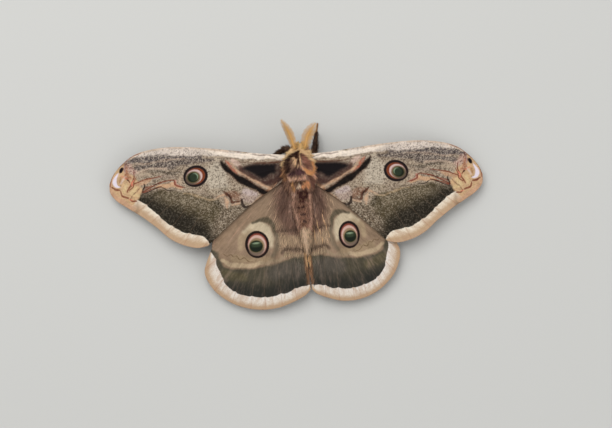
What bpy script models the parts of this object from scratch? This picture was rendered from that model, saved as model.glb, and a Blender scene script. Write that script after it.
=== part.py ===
"""A giant peacock moth at rest with its wings spread, life size, standing on its six feet.

+X is the moth's right seen from above, +Y is forward and +Z is up, with the floor at z = 0.
The stance frame has the plane between the forewings at x = 0. The body frame is turned a few degrees
from it about the middle of the thorax, and the body and both hindwings follow that one.
Sizes are in millimetres, and a mesh is turned to metres when it is finished.
"""

import math
import random

import bmesh
import bpy
from mathutils import Matrix, Vector, geometry

MM = 0.001
GAP = 0.32

# Stance
STANCE_FORWARD = 12.4
THORAX_MIDDLE = Vector((1.0, 3.6, 0.0))
BODY_TURN = math.radians(4.57)
BODY_FRAME = Matrix.Translation(THORAX_MIDDLE) @ Matrix.Rotation(BODY_TURN, 4, "Z")

# Body sections in the body frame: how far forward, aside, centre height, half width, half height
THORAX_SECTIONS = (
    (5.5, 0.5, 7.9, 3.2, 3.3),
    (4.2, 0.3, 8.1, 4.3, 4.3),
    (1.5, 0.0, 8.2, 5.1, 4.8),
    (-2.5, 0.0, 8.2, 5.1, 4.7),
    (-5.5, 0.0, 8.2, 4.6, 4.2),
    (-7.2, 0.0, 8.2, 4.1, 3.8),
)
ABDOMEN_SECTIONS = (
    (-7.52, 0.0, 8.2, 4.0, 3.7),
    (-11.0, 0.0, 8.2, 4.4, 4.1),
    (-15.5, 0.0, 8.1, 4.2, 3.9),
    (-20.5, 0.1, 7.9, 3.4, 3.2),
    (-25.0, 0.2, 7.8, 2.3, 2.2),
    (-28.6, 0.3, 7.7, 1.0, 0.9),
)
HEAD_SECTIONS = (
    (5.82, 0.65, 7.9, 2.3, 2.3),
    (7.2, 1.1, 7.8, 2.5, 2.5),
    (8.6, 1.5, 7.4, 2.0, 2.1),
    (9.6, 1.75, 7.0, 1.1, 1.3),
)
BODY_SIDES = 20
THORAX_RINGS = 12
HEAD_RINGS = 6
ABDOMEN_SEGMENTS = 7
RINGS_PER_SEGMENT = 2
SEGMENT_STEP = 0.16
EYE_RADIUS = 1.15
HEAD_MIDDLE = Vector((1.15, 7.5, 7.7))
HEAD_TURN = math.radians(-15.0)
EYE_ASIDE = 2.05

# Coat: locks in rows, each with the distance forward, the angles from the top and the lock's own sizes
SEED = 11
LOCK_SUNK = 1.0
LOCK_THICKNESS = 0.75
LOCK_TIP = 0.09
LOCK_SPANS = 3
LENGTH_SPREAD = 0.18
THORAX_ROWS = (4.6, 2.7, 0.8, -1.1, -3.0, -4.9)
THORAX_LOCK = {"length": 3.9, "width": 2.3, "rise": 1.1, "angles": (-56, -34, -11, 11, 34, 56)}
COLLAR_FORWARD = 5.2
COLLAR_LOCK = {"length": 3.0, "width": 3.2, "rise": 0.8, "angles": (-62, -37, -12, 12, 37, 62)}
TEGULA_LOCK = {"length": 6.4, "width": 2.6, "rise": 1.2, "angles": (-66, -50, 50, 66)}
TEGULA_FORWARD = 3.4
ABDOMEN_ROWS = (-9.6, -12.0, -14.4, -16.8, -19.2, -21.6, -24.0)
ABDOMEN_LOCK = {"length": 3.6, "width": 2.7, "rise": 0.45, "angles": (-66, -33, 0, 33, 66)}
BELLY_ROWS = (-10.5, -14.5, -18.5, -22.5)
BELLY_LOCK = {"length": 4.4, "width": 3.0, "rise": 0.3, "angles": (-145, 180, 145)}
TAIL_FORWARD = -26.6
TAIL_LOCK = {"length": 4.9, "width": 3.4, "rise": 0.35, "angles": (-75, -30, 15, 60)}
CROWN_FORWARD = 6.9
CROWN_LOCK = {"length": 3.0, "width": 1.4, "rise": 0.6, "angles": (-3, -78, 72)}
FRONT_FORWARD = 8.3
FRONT_LOCK = {"length": 2.7, "width": 1.3, "rise": -0.1, "angles": (0, 90, -90, 135, -135, 180)}

# Wing surfaces: the height falls away outwards and backwards from the roots
ROOT_HEIGHT = 9.0
ROOT_ASIDE = 5.0
HALF_SPAN = 67.7
TIP_DROOP = 5.4
DROOP_POWER = 1.5
REAR_DROOP = 0.0018
HINDWING_BELOW = 1.35
MEMBRANE = 0.5
VEIN_HALF_WIDTH = 0.42
VEIN_RISE = 0.3
VEIN_UNDERSIDE_RISE = 0.12

# Forewing outline in the stance frame, outwards and forwards, from the root round the apex and back
FOREWING_COSTA = (
    (3.0, 9.1), (12.6, 9.8), (22.7, 11.2), (32.8, 12.4), (42.7, 13.1), (51.0, 12.6), (57.5, 11.0),
    (62.2, 7.9), (65.8, 4.0), (67.6, 0.3),
)
FOREWING_MARGIN = (
    (67.6, 0.3), (67.3, -3.0), (64.9, -5.9), (60.6, -8.8), (55.8, -11.9), (50.6, -15.9), (46.2, -19.8),
    (41.6, -22.2), (36.5, -23.5), (32.4, -22.9),
)
FOREWING_INNER = ((32.4, -22.9), (21.0, -12.4), (13.3, -6.2), (2.0, 1.4))
FOREWING_VEINS = {
    "subcosta": ((3.0, 7.6), (15.0, 8.7), (28.0, 10.6), (40.0, 12.2), (46.0, 13.6)),
    "radius": ((3.0, 6.4), (15.0, 6.6), (26.0, 7.4), (33.0, 7.2), (42.0, 6.2), (54.0, 4.6), (67.9, 2.0)),
    "radius_1": ((26.0, 7.4), (38.0, 9.8), (48.0, 11.8), (54.0, 12.9)),
    "radius_3": ((33.0, 7.2), (44.0, 8.6), (54.0, 9.6), (61.5, 9.9)),
    "media_1": ((33.5, 6.0), (42.0, 3.6), (52.0, -0.8), (60.0, -5.4), (64.9, -7.6)),
    "media_2": ((34.8, 3.4), (43.0, 0.0), (51.5, -5.6), (59.4, -11.3)),
    "media_3": ((33.8, 0.8), (41.5, -4.2), (48.0, -9.8), (54.2, -15.2)),
    "cubitus_1": ((31.5, -0.9), (38.5, -7.5), (44.0, -14.2), (48.8, -19.2)),
    "cubitus_2": ((25.6, -0.6), (32.4, -8.5), (38.2, -17.0), (41.8, -23.6)),
    "cubitus": ((3.0, 5.2), (14.0, 2.4), (25.6, -0.6), (31.5, -0.9), (33.8, 0.8), (34.8, 3.4), (33.0, 7.2)),
    "anal": ((3.0, 4.0), (14.5, -3.4), (23.0, -10.8), (34.9, -24.1)),
}

# Hindwing outline in the body frame, outwards and forwards, from the root round the margin to the tail
HINDWING_COSTA = ((2.0, -1.2), (10.0, -0.8), (20.0, -4.6), (28.0, -11.0), (32.6, -17.8), (34.2, -25.0))
HINDWING_MARGIN = (
    (34.2, -25.0), (36.6, -29.6), (37.7, -33.0), (36.9, -36.6), (34.0, -41.3), (28.8, -45.5), (23.3, -47.9),
    (17.9, -48.9), (12.2, -48.7), (6.6, -47.1), (2.4, -45.3), (0.25, -43.4),
)
HINDWING_INNER = ((0.25, -43.4), (0.25, -30.0), (0.25, -6.0))
HINDWING_SPREAD = {"left": 1.0, "right": 0.885}
HINDWING_VEINS = {
    "subcosta": ((3.4, -2.2), (14.0, -3.8), (24.0, -10.4), (31.0, -18.5), (35.2, -25.2)),
    "radius": ((3.4, -3.4), (9.5, -9.0), (14.5, -16.5), (24.0, -22.5), (32.0, -28.2), (38.4, -32.6)),
    "media_1": ((14.5, -16.5), (18.7, -22.5), (26.0, -30.0), (31.5, -36.5), (35.9, -41.0)),
    "media_2": ((18.4, -25.0), (24.0, -35.0), (29.8, -46.4)),
    "media_3": ((16.6, -26.6), (20.0, -37.0), (22.8, -49.2)),
    "cubitus_1": ((14.6, -26.6), (16.6, -38.0), (17.2, -50.0)),
    "cubitus_2": ((11.4, -22.5), (11.2, -36.0), (11.0, -49.7)),
    "cubitus": (
        (3.4, -5.0), (7.6, -13.5), (11.4, -22.5), (14.6, -26.6), (16.6, -26.6), (18.4, -25.0), (18.7, -22.5),
    ),
    "anal": ((3.4, -7.0), (5.2, -18.0), (6.4, -34.0), (5.4, -47.9)),
}

OUTLINE_STEP = 3.4
VEIN_STEP = 6.5
FIELD_STEP = 6.5
FIELD_CLEAR = 2.4
CLOSEST_POINTS = 0.06

# Antennae: where each base sits on the head, then the bend and the tip in the body frame
ANTENNA_FORWARD = 8.0
ANTENNA_ANGLE = math.radians(30.0)
ANTENNA_BEND_AND_TIP = {
    "left": ((-1.9, 13.4, 11.6), (-4.3, 18.4, 12.6)),
    "right": ((4.7, 12.0, 11.8), (7.9, 15.9, 13.6)),
}
ANTENNA_ROLL = {"left": math.radians(-48.0), "right": math.radians(12.0)}
SHAFT_RADII = (0.42, 0.3)
SHAFT_SIDES = 6
RAMUS_SPACING = 1.0
RAMUS_LENGTH = 2.0
RAMUS_RADII = (0.3, 0.17)
RAMUS_LEAN = math.radians(58.0)
BARE_SHARE = 0.12

# Legs: the root on the thorax (how far forward, angle from the top), then in the stance frame the knee and
# ankle as points, and the heel and toe as places on the floor
LEG_ROOTS = {"front": (3.3, 146.0), "mid": (-0.6, 128.0), "hind": (-4.6, 132.0)}
LEG_JOINTS = {
    "front_left": ((-3.3, 11.2, 4.5), (-8.4, 8.6, 2.2), (-9.9, 8.1), (-12.9, 7.4)),
    "front_right": ((6.5, 9.6, 4.8), (7.7, 16.0, 2.4), (7.9, 17.5), (8.4, 20.6)),
    "mid_left": ((-8.8, 4.8, 5.2), (-13.4, 2.6, 2.2), (-14.8, 2.0), (-17.8, 0.9)),
    "mid_right": ((9.6, 4.6, 5.2), (13.8, 2.2, 2.2), (15.2, 1.6), (18.2, 0.5)),
    "hind_left": ((-7.8, -6.2, 4.6), (-10.6, -14.2, 2.2), (-11.2, -15.9), (-12.0, -20.4)),
    "hind_right": ((9.2, -5.8, 4.6), (12.4, -13.8, 2.2), (13.0, -15.5), (14.0, -20.0)),
}
FOOT_HEIGHT = 0.34
LEG_RADII = (1.05, 0.95, 0.7, 0.46, 0.44)
LEG_SUNK = 0.8
LEG_STEP = 1.9
LEG_SIDES = 8
FLOOR = 0.0

BODY_COLOUR = (0.10, 0.055, 0.04)
PALE_HAIR_COLOUR = (0.42, 0.27, 0.14)
FOREWING_COLOUR = (0.27, 0.22, 0.19)
HINDWING_COLOUR = (0.30, 0.23, 0.19)
EYE_COLOUR = (0.012, 0.010, 0.009)
ANTENNA_COLOUR = (0.45, 0.27, 0.11)
LEG_COLOUR = (0.09, 0.05, 0.035)
SIDES = {"left": -1, "right": 1}


def main():
    clear_scene()
    parts = new_collection("giant peacock moth")
    cutters = new_collection("cutters")
    pieces = new_collection("pieces to fuse")
    stance = bpy.data.objects.new("stance", None)
    stance.location = (0.0, STANCE_FORWARD * MM, 0.0)
    parts.objects.link(stance)
    body_axis = bpy.data.objects.new("body_axis", None)
    body_axis.parent = stance
    body_axis.location = THORAX_MIDDLE * MM
    body_axis.rotation_euler.z = BODY_TURN
    parts.objects.link(body_axis)

    make_thorax_and_abdomen(parts, cutters, pieces, body_axis)
    make_head_and_eyes(parts, cutters, pieces, body_axis)
    for name, side in SIDES.items():
        make_wings(name, side, parts, cutters, stance)
        make_antenna(name, side, parts, pieces, body_axis)
    for name, joints in LEG_JOINTS.items():
        make_leg(name, joints, parts, cutters, stance)
    remove_all(cutters)


def make_thorax_and_abdomen(parts, cutters, pieces, body_axis):
    rng = random.Random(SEED)
    whole_body = THORAX_SECTIONS + ABDOMEN_SECTIONS[1:]
    thorax = body_loft("thorax", THORAX_SECTIONS, THORAX_RINGS, parts)
    for row, forward in enumerate(THORAX_ROWS):
        lay_locks(rng, whole_body, forward, THORAX_LOCK, -1, pieces, stagger=11 * (row % 2))
    lay_locks(rng, whole_body, COLLAR_FORWARD, COLLAR_LOCK, -1, pieces)
    lay_locks(rng, whole_body, TEGULA_FORWARD, TEGULA_LOCK, -1, pieces)
    join_all(thorax, pieces)
    space = body_loft("abdomen space", ABDOMEN_SECTIONS, THORAX_RINGS, cutters, grow=GAP + SEGMENT_STEP)
    cut_clear(thorax, [space])
    remove_all(cutters)
    finish(thorax, body_axis, BODY_COLOUR)

    rings = ABDOMEN_SEGMENTS * RINGS_PER_SEGMENT
    abdomen = body_loft("abdomen", ABDOMEN_SECTIONS, rings, parts, swell=segment_swell)
    for row, forward in enumerate(ABDOMEN_ROWS):
        lay_locks(rng, ABDOMEN_SECTIONS, forward, ABDOMEN_LOCK, -1, pieces, stagger=12 * (row % 2))
    for forward in BELLY_ROWS:
        lay_locks(rng, ABDOMEN_SECTIONS, forward, BELLY_LOCK, -1, pieces)
    lay_locks(rng, ABDOMEN_SECTIONS, TAIL_FORWARD, TAIL_LOCK, -1, pieces)
    join_all(abdomen, pieces)
    finish(abdomen, body_axis, BODY_COLOUR)


def segment_swell(share):
    """Each segment widens backwards to its rear edge, and the next starts narrower under it."""
    if share in (0.0, 1.0):
        return 0.0
    return SEGMENT_STEP * ((share * ABDOMEN_SEGMENTS) % 1.0 - 0.5)


def make_head_and_eyes(parts, cutters, pieces, body_axis):
    rng = random.Random(SEED + 1)
    head = body_loft("head", HEAD_SECTIONS, HEAD_RINGS, parts)
    lay_locks(rng, HEAD_SECTIONS, CROWN_FORWARD, CROWN_LOCK, 1, pieces)
    lay_locks(rng, HEAD_SECTIONS, FRONT_FORWARD, FRONT_LOCK, 1, pieces)
    join_all(head, pieces)
    turn = Matrix.Rotation(HEAD_TURN, 4, "Z")
    sockets = []
    for name, side in SIDES.items():
        middle = HEAD_MIDDLE + turn @ Vector((side * EYE_ASIDE, 0.0, 0.0))
        sockets.append(ball(f"socket_{name}", middle, EYE_RADIUS + GAP, cutters))
        finish(ball(f"eye_{name}", middle, EYE_RADIUS, parts), body_axis, EYE_COLOUR, roughness=0.25)
    cut_clear(head, sockets)
    remove_all(cutters)
    finish(head, body_axis, PALE_HAIR_COLOUR)


def make_wings(name, side, parts, cutters, stance):
    """Both wings of one side, cut to meet the body's sides."""
    body_spaces = []
    for sections in (THORAX_SECTIONS, ABDOMEN_SECTIONS):
        space = body_loft("body space", sections, THORAX_RINGS, cutters, grow=GAP)
        space.data.transform(BODY_FRAME)
        body_spaces.append(space)
    outline = wing_outline(FOREWING_COSTA, FOREWING_MARGIN, FOREWING_INNER)
    place = forewing_place(side)
    forewing = wing(f"forewing_{name}", outline, vein_paths(FOREWING_VEINS), place, 0.0, parts)
    cut_clear(forewing, body_spaces)
    finish(forewing, stance, FOREWING_COLOUR)
    outline = wing_outline(HINDWING_COSTA, HINDWING_MARGIN, HINDWING_INNER)
    place = hindwing_place(side, HINDWING_SPREAD[name])
    hindwing = wing(f"hindwing_{name}", outline, vein_paths(HINDWING_VEINS), place, HINDWING_BELOW, parts)
    cut_clear(hindwing, body_spaces)
    finish(hindwing, stance, HINDWING_COLOUR)
    remove_all(cutters)


def make_antenna(name, side, parts, pieces, body_axis):
    """A shaft from just off the head's skin round its bend to the tip, with a pair of rami at each step."""
    angle = side * ANTENNA_ANGLE
    base = body_point(HEAD_SECTIONS, ANTENNA_FORWARD, angle, GAP + 0.05)
    out = body_point(HEAD_SECTIONS, ANTENNA_FORWARD, angle, GAP + 1.1)
    bend, tip = ANTENNA_BEND_AND_TIP[name]
    path = smooth_path([base, out, bend, tip], RAMUS_SPACING)
    count = len(path) - 1
    radii = [SHAFT_RADII[0] + (SHAFT_RADII[1] - SHAFT_RADII[0]) * i / count for i in range(count + 1)]
    antenna = tube(f"antenna_{name}", path, radii, SHAFT_SIDES, parts)
    for i in range(1, count + 1):
        share = i / count
        if share < BARE_SHARE:
            continue
        point = path[i] if i < count else path[i].lerp(path[i - 1], 0.35)
        ahead = (path[min(i + 1, count)] - path[i - 1]).normalized()
        across = ahead.cross(Vector((0, 0, 1))).normalized()
        across.rotate(Matrix.Rotation(ANTENNA_ROLL[name], 3, ahead))
        length = RAMUS_LENGTH * math.sin(math.pi * (0.14 + 0.8 * share)) ** 0.8
        for way in (-1, 1):
            lean = math.cos(RAMUS_LEAN) * ahead + way * math.sin(RAMUS_LEAN) * across
            ends = [point + 0.12 * lean, point + 0.5 * length * lean, point + length * (lean + 0.18 * ahead)]
            widths = [RAMUS_RADII[0], RAMUS_RADII[0] * 0.9, RAMUS_RADII[1]]
            tube("ramus", ends, widths, 4, pieces)
    join_all(antenna, pieces)
    finish(antenna, body_axis, ANTENNA_COLOUR)


def make_leg(name, joints, parts, cutters, stance):
    """A leg from its root just inside the thorax down to the flat sole, cut clear of the thorax."""
    forward, angle = LEG_ROOTS[name.split("_")[0]]
    angle = math.radians(angle if name.endswith("right") else -angle)
    root = BODY_FRAME @ body_point(THORAX_SECTIONS, forward, angle, -LEG_SUNK)
    knee, ankle, heel, toe = joints
    points = [root, knee, ankle, (*heel, FOOT_HEIGHT), (*toe, FOOT_HEIGHT)]
    stations = [Vector((*point, radius)) for point, radius in zip(points, LEG_RADII)]
    path = smooth_path(stations, LEG_STEP)
    line, radii = [Vector(p[:3]) for p in path], [p[3] for p in path]
    leg = tube(f"leg_{name}", line, radii, LEG_SIDES, parts, floor=FLOOR)
    space = body_loft("thorax space", THORAX_SECTIONS, THORAX_RINGS, cutters, grow=GAP)
    space.data.transform(BODY_FRAME)
    cut_clear(leg, [space])
    remove_all(cutters)
    finish(leg, stance, LEG_COLOUR)


def clear_scene():
    for old in list(bpy.data.objects):
        bpy.data.objects.remove(old, do_unlink=True)


def new_collection(name):
    collection = bpy.data.collections.new(name)
    bpy.context.scene.collection.children.link(collection)
    return collection


def remove_all(collection):
    for old in list(collection.objects):
        bpy.data.objects.remove(old, do_unlink=True)


def smooth_path(points, step):
    """Points about step apart on a Catmull-Rom curve through the given ones."""
    points = [Vector(p) for p in points]
    padded = [2 * points[0] - points[1]] + points + [2 * points[-1] - points[-2]]
    path = []
    for a, b, c, d in zip(padded, padded[1:], padded[2:], padded[3:]):
        count = max(1, round((c - b).length / step))
        for i in range(count):
            t = i / count
            square, cube = 2 * a - 5 * b + 4 * c - d, 3 * b - a - 3 * c + d
            path.append(0.5 * (2 * b + (c - a) * t + square * t**2 + cube * t**3))
    return path + [points[-1]]


def section_at(sections, forward):
    """Aside, centre height, half width and half height of the body where it is this far forward."""
    ordered = sorted(sections, reverse=True)
    forward = min(max(forward, ordered[-1][0]), ordered[0][0])
    i = next(k for k in range(len(ordered) - 1) if forward >= ordered[k + 1][0])
    before, start, end = ordered[max(i - 1, 0)], ordered[i], ordered[i + 1]
    after = ordered[min(i + 2, len(ordered) - 1)]
    span = start[0] - end[0]
    t = (start[0] - forward) / span
    values = []
    for k in range(1, 5):
        slope_in = span * (end[k] - before[k]) / (before[0] - end[0])
        slope_out = span * (after[k] - start[k]) / (start[0] - after[0])
        from_ends = start[k] * (2 * t**3 - 3 * t**2 + 1) + end[k] * (3 * t**2 - 2 * t**3)
        values.append(from_ends + slope_in * (t**3 - 2 * t**2 + t) + slope_out * (t**3 - t**2))
    return values


def body_point(sections, forward, angle, lift=0.0):
    """A point on the body's skin. angle turns from the top, positive towards +X; lift stands off the skin."""
    aside, height, half_width, half_height = section_at(sections, forward)
    across = (half_width + lift) * math.sin(angle)
    return Vector((aside + across, forward, height + (half_height + lift) * math.cos(angle)))


def mesh_object(name, vertices, faces, collection):
    mesh = bpy.data.meshes.new(name)
    mesh.from_pydata([tuple(v) for v in vertices], [], [tuple(f) for f in faces])
    obj = bpy.data.objects.new(name, mesh)
    collection.objects.link(obj)
    work = bmesh.new()
    work.from_mesh(mesh)
    bmesh.ops.triangulate(work, faces=work.faces)
    bmesh.ops.recalc_face_normals(work, faces=work.faces)
    if work.calc_volume(signed=True) < 0:
        bmesh.ops.reverse_faces(work, faces=work.faces)
    work.to_mesh(mesh)
    work.free()
    return obj


def ball(name, middle, radius, collection):
    work = bmesh.new()
    bmesh.ops.create_icosphere(work, subdivisions=3, radius=radius, matrix=Matrix.Translation(middle))
    mesh = bpy.data.meshes.new(name)
    work.to_mesh(mesh)
    work.free()
    obj = bpy.data.objects.new(name, mesh)
    collection.objects.link(obj)
    return obj


def loft(name, rings, collection):
    """A closed solid through rings of equally many points, with a fan over each end."""
    sides = len(rings[0])
    vertices = [p for ring in rings for p in ring]
    faces = []
    for r in range(len(rings) - 1):
        for i in range(sides):
            a, b = r * sides + i, r * sides + (i + 1) % sides
            faces.append((a, b, b + sides, a + sides))
    for start in (0, len(vertices) - sides):
        middle = len(vertices)
        vertices.append(sum(vertices[start : start + sides], Vector()) / sides)
        faces += [(middle, start + i, start + (i + 1) % sides) for i in range(sides)]
    return mesh_object(name, vertices, faces, collection)


def body_loft(name, sections, steps, collection, grow=0.0, swell=None):
    """One length of the body between its first and last section. grow makes it larger all round."""
    first, last = sections[0][0], sections[-1][0]
    rings = []
    for s in range(steps + 1):
        forward = first + (last - first) * s / steps
        lengthen = grow * ((s == 0) - (s == steps))
        extra = grow + (swell(s / steps) if swell else 0.0)
        ring = [body_point(sections, forward, 2 * math.pi * i / BODY_SIDES, extra) for i in range(BODY_SIDES)]
        rings.append([point + Vector((0, lengthen, 0)) for point in ring])
    return loft(name, rings, collection)


def tube(name, path, radii, sides, collection, floor=None):
    """A bent tapering tube along a path, with one radius for each point, flattened where it meets a floor."""
    count = len(path)
    tangents = [(path[min(i + 1, count - 1)] - path[max(i - 1, 0)]).normalized() for i in range(count)]
    across = tangents[-1].cross(Vector((0, 0, 1)))
    rings = []
    for point, ahead, radius in reversed(list(zip(path, tangents, radii))):
        across = (across - across.dot(ahead) * ahead).normalized()
        up = across.cross(ahead)
        ring = []
        for k in range(sides):
            angle = 2 * math.pi * (k + 0.5) / sides
            place = point + radius * (math.cos(angle) * across + math.sin(angle) * up)
            if floor is not None:
                place.z = max(place.z, floor)
            ring.append(place)
        rings.append(ring)
    return loft(name, rings, collection)


def lay_locks(rng, sections, forward, kind, heading, collection, stagger=0.0):
    """One row of locks round the body, lying backwards (heading -1) or forwards (+1)."""
    widest = max(section[3] for section in sections)
    width = kind["width"] * section_at(sections, forward)[2] / widest
    for angle in kind["angles"]:
        length = kind["length"] * (1 + rng.uniform(-LENGTH_SPREAD, LENGTH_SPREAD))
        turned = math.radians(angle + stagger * (1 if angle > 0 else -1) * 0.5 + rng.uniform(-3, 3))
        start = forward + rng.uniform(-0.25, 0.25)
        lock(sections, start, turned, heading * length, width, kind["rise"], collection)


def lock(sections, forward, angle, length, width, rise, collection):
    """A flat tapered lock, rooted deep in the skin, that comes out low and bends along the coat."""
    centres = []
    for step in range(LOCK_SPANS + 1):
        share = step / LOCK_SPANS
        lift = rise * share - LOCK_SUNK * (1 - share) ** 4
        centres.append(body_point(sections, forward + length * share, angle, lift))
    outward = Vector((math.sin(angle), 0, math.cos(angle)))
    rings = []
    for step, centre in enumerate(centres):
        share = step / LOCK_SPANS
        ahead = (centres[min(step + 1, LOCK_SPANS)] - centres[max(step - 1, 0)]).normalized()
        side = ahead.cross(outward).normalized()
        up = side.cross(ahead)
        half_width = max(LOCK_TIP, 0.5 * width * math.sqrt(1 - share))
        half_thickness = max(LOCK_TIP, 0.5 * LOCK_THICKNESS * (1 - 0.6 * share) * (share < 1))
        rings.append(
            [centre + half_width * side, centre + half_thickness * up, centre - half_width * side,
             centre - half_thickness * up]
        )
    loft("lock", rings, collection)


def vein_paths(veins):
    return [smooth_path(vein, VEIN_STEP) for vein in veins.values()]


def wing_outline(*runs):
    """The points round a wing: each run's curve starts where the last one ends, and a line closes them."""
    outline = []
    for run in runs:
        outline += smooth_path(run, OUTLINE_STEP)[:-1]
    outline.append(Vector(runs[-1][-1]))
    return outline


def surface_height(x, y, below):
    """Height of a wing's middle surface over a point of the stance frame."""
    out = max(0.0, abs(x) - ROOT_ASIDE) / (HALF_SPAN - ROOT_ASIDE)
    back = max(0.0, -y)
    return ROOT_HEIGHT - TIP_DROOP * out**DROOP_POWER - REAR_DROOP * back**2 - below


def inside(point, outline):
    crossings = 0
    for a, b in zip(outline, outline[1:] + outline[:1]):
        if (a.y > point.y) != (b.y > point.y):
            if point.x < a.x + (b.x - a.x) * (point.y - a.y) / (b.y - a.y):
                crossings += 1
    return crossings % 2 == 1


def distance_to_paths(point, paths):
    best = math.inf
    for path in paths:
        for a, b in zip(path, path[1:]):
            span = b - a
            share = max(0.0, min(1.0, (point - a).dot(span) / span.length_squared))
            best = min(best, (point - a - share * span).length)
    return best


def wing_triangles(outline, veins):
    """Flat triangles of a wing: its outline, a crest and two feet along each vein, and points between."""
    points = list(outline)
    count = len(points)
    edges = [(i, (i + 1) % count) for i in range(count)]
    for vein in veins:
        for offset in (-VEIN_HALF_WIDTH, 0.0, VEIN_HALF_WIDTH):
            start = len(points)
            for i, place in enumerate(vein):
                ahead = (vein[min(i + 1, len(vein) - 1)] - vein[max(i - 1, 0)]).normalized()
                points.append(place + offset * Vector((-ahead.y, ahead.x)))
            edges += [(i, i + 1) for i in range(start, len(points) - 1)]
    left = min(p.x for p in outline)
    right = max(p.x for p in outline)
    low = min(p.y for p in outline)
    high = max(p.y for p in outline)
    lines = veins + [outline + outline[:1]]
    for row in range(int((high - low) / FIELD_STEP) + 1):
        for column in range(int((right - left) / FIELD_STEP) + 1):
            place = Vector((left + (column + 0.5 * (row % 2)) * FIELD_STEP, low + row * FIELD_STEP))
            if inside(place, outline) and distance_to_paths(place, lines) > FIELD_CLEAR:
                points.append(place)
    made = geometry.delaunay_2d_cdt(points, edges, [list(range(count))], 1, CLOSEST_POINTS)
    return made[0], made[2]


def wing(name, outline, veins, place, below, collection):
    """A curved membrane with raised veins. place turns a flat wing point to the stance frame."""
    flat, triangles = wing_triangles(outline, veins)
    top, bottom = [], []
    for point in flat:
        spot = place(point)
        height = surface_height(spot.x, spot.y, below)
        share = max(0.0, 1.0 - distance_to_paths(point, veins) / VEIN_HALF_WIDTH)
        top.append(Vector((spot.x, spot.y, height + MEMBRANE / 2 + VEIN_RISE * share)))
        bottom.append(Vector((spot.x, spot.y, height - MEMBRANE / 2 - VEIN_UNDERSIDE_RISE * share)))
    count = len(flat)
    faces = [tuple(t) for t in triangles]
    faces += [(c + count, b + count, a + count) for a, b, c in triangles]
    ways = {(a, b) for t in triangles for a, b in zip(t, t[1:] + t[:1])}
    faces += [(b, a, a + count, b + count) for a, b in sorted(ways) if (b, a) not in ways]
    return mesh_object(name, top + bottom, faces, collection)


def forewing_place(side):
    return lambda p: Vector((side * p.x, p.y))


def hindwing_place(side, spread):
    return lambda p: (BODY_FRAME @ Vector((side * spread * p.x, p.y, 0.0))).xy


def apply_modifiers(obj):
    graph = bpy.context.evaluated_depsgraph_get()
    made = bpy.data.meshes.new_from_object(obj.evaluated_get(graph))
    obj.modifiers.clear()
    old = obj.data
    obj.data = made
    bpy.data.meshes.remove(old)


def join_all(obj, collection):
    """Fuses every object of the collection into obj, then removes them."""
    fuse = obj.modifiers.new("fuse", "BOOLEAN")
    fuse.operation = "UNION"
    fuse.operand_type = "COLLECTION"
    fuse.collection = collection
    fuse.solver = "EXACT"
    apply_modifiers(obj)
    remove_all(collection)
    keep_largest(obj)


def cut_clear(obj, cutters):
    """Takes the cutters' space away from obj."""
    for cutter in cutters:
        cut = obj.modifiers.new("clearance", "BOOLEAN")
        cut.operation = "DIFFERENCE"
        cut.object = cutter
        cut.solver = "EXACT"
    apply_modifiers(obj)
    keep_largest(obj)


def keep_largest(obj):
    """Leaves only the closed surface that holds the most."""
    work = bmesh.new()
    work.from_mesh(obj.data)
    unseen = set(work.faces)
    bodies = []
    while unseen:
        stack = [unseen.pop()]
        body = list(stack)
        while stack:
            for edge in stack.pop().edges:
                for face in edge.link_faces:
                    if face in unseen:
                        unseen.remove(face)
                        stack.append(face)
                        body.append(face)
        bodies.append(body)
    bodies.sort(key=enclosed)
    bmesh.ops.delete(work, geom=[face for body in bodies[:-1] for face in body], context="FACES")
    bmesh.ops.delete(work, geom=[v for v in work.verts if not v.link_faces], context="VERTS")
    bmesh.ops.triangulate(work, faces=work.faces)
    work.to_mesh(obj.data)
    work.free()


def enclosed(faces):
    total = 0.0
    for face in faces:
        corners = [v.co for v in face.verts]
        for b, c in zip(corners[1:], corners[2:]):
            total += corners[0].dot(b.cross(c)) / 6
    return total


def finish(obj, parent, colour, roughness=0.8):
    """Turns the mesh to metres, hangs it on its parent and gives it its material."""
    obj.data.transform(Matrix.Scale(MM, 4))
    obj.parent = parent
    material = bpy.data.materials.new(obj.name)
    material.use_nodes = True
    shader = material.node_tree.nodes["Principled BSDF"]
    shader.inputs["Base Color"].default_value = (*colour, 1.0)
    shader.inputs["Roughness"].default_value = roughness
    shader.inputs["Metallic"].default_value = 0.0
    obj.data.materials.clear()
    obj.data.materials.append(material)
    obj.data.shade_smooth()
    obj.data.set_sharp_from_angle(angle=math.radians(40))


main()
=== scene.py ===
"""The looks of a giant peacock moth at rest with its wings spread, life size, on its six feet.

Sizes are in millimetres, and a mesh is turned to metres when its piece is finished. The stance frame has
the plane between the forewings at x = 0 and lies STANCE_FORWARD ahead of the model's origin. The body
frame is turned a few degrees from it about the middle of the thorax, and the body and both hindwings
follow that one. Colours are written as a screen shows them, each part from 0 to 255.
"""

import math
from collections import namedtuple
from functools import partial

import bmesh
import bpy
import numpy as np
from mathutils import Matrix, Vector, geometry


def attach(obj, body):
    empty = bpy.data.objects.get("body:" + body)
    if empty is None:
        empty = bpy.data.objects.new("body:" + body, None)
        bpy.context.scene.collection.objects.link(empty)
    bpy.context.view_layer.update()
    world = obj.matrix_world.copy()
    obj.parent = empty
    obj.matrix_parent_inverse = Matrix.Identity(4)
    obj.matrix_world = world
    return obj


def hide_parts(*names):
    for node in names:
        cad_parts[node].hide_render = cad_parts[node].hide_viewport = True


MM = 0.001
SIDES = {"left": -1, "right": 1}

# Stance
STANCE_FORWARD = 12.4
STANCE_FRAME = Matrix.Translation((0.0, STANCE_FORWARD, 0.0))
BODY_TURN = math.radians(4.57)
BODY_IN_STANCE = Matrix.Translation((1.0, 3.6, 0.0)) @ Matrix.Rotation(BODY_TURN, 4, "Z")
BODY_FRAME = STANCE_FRAME @ BODY_IN_STANCE

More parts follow.
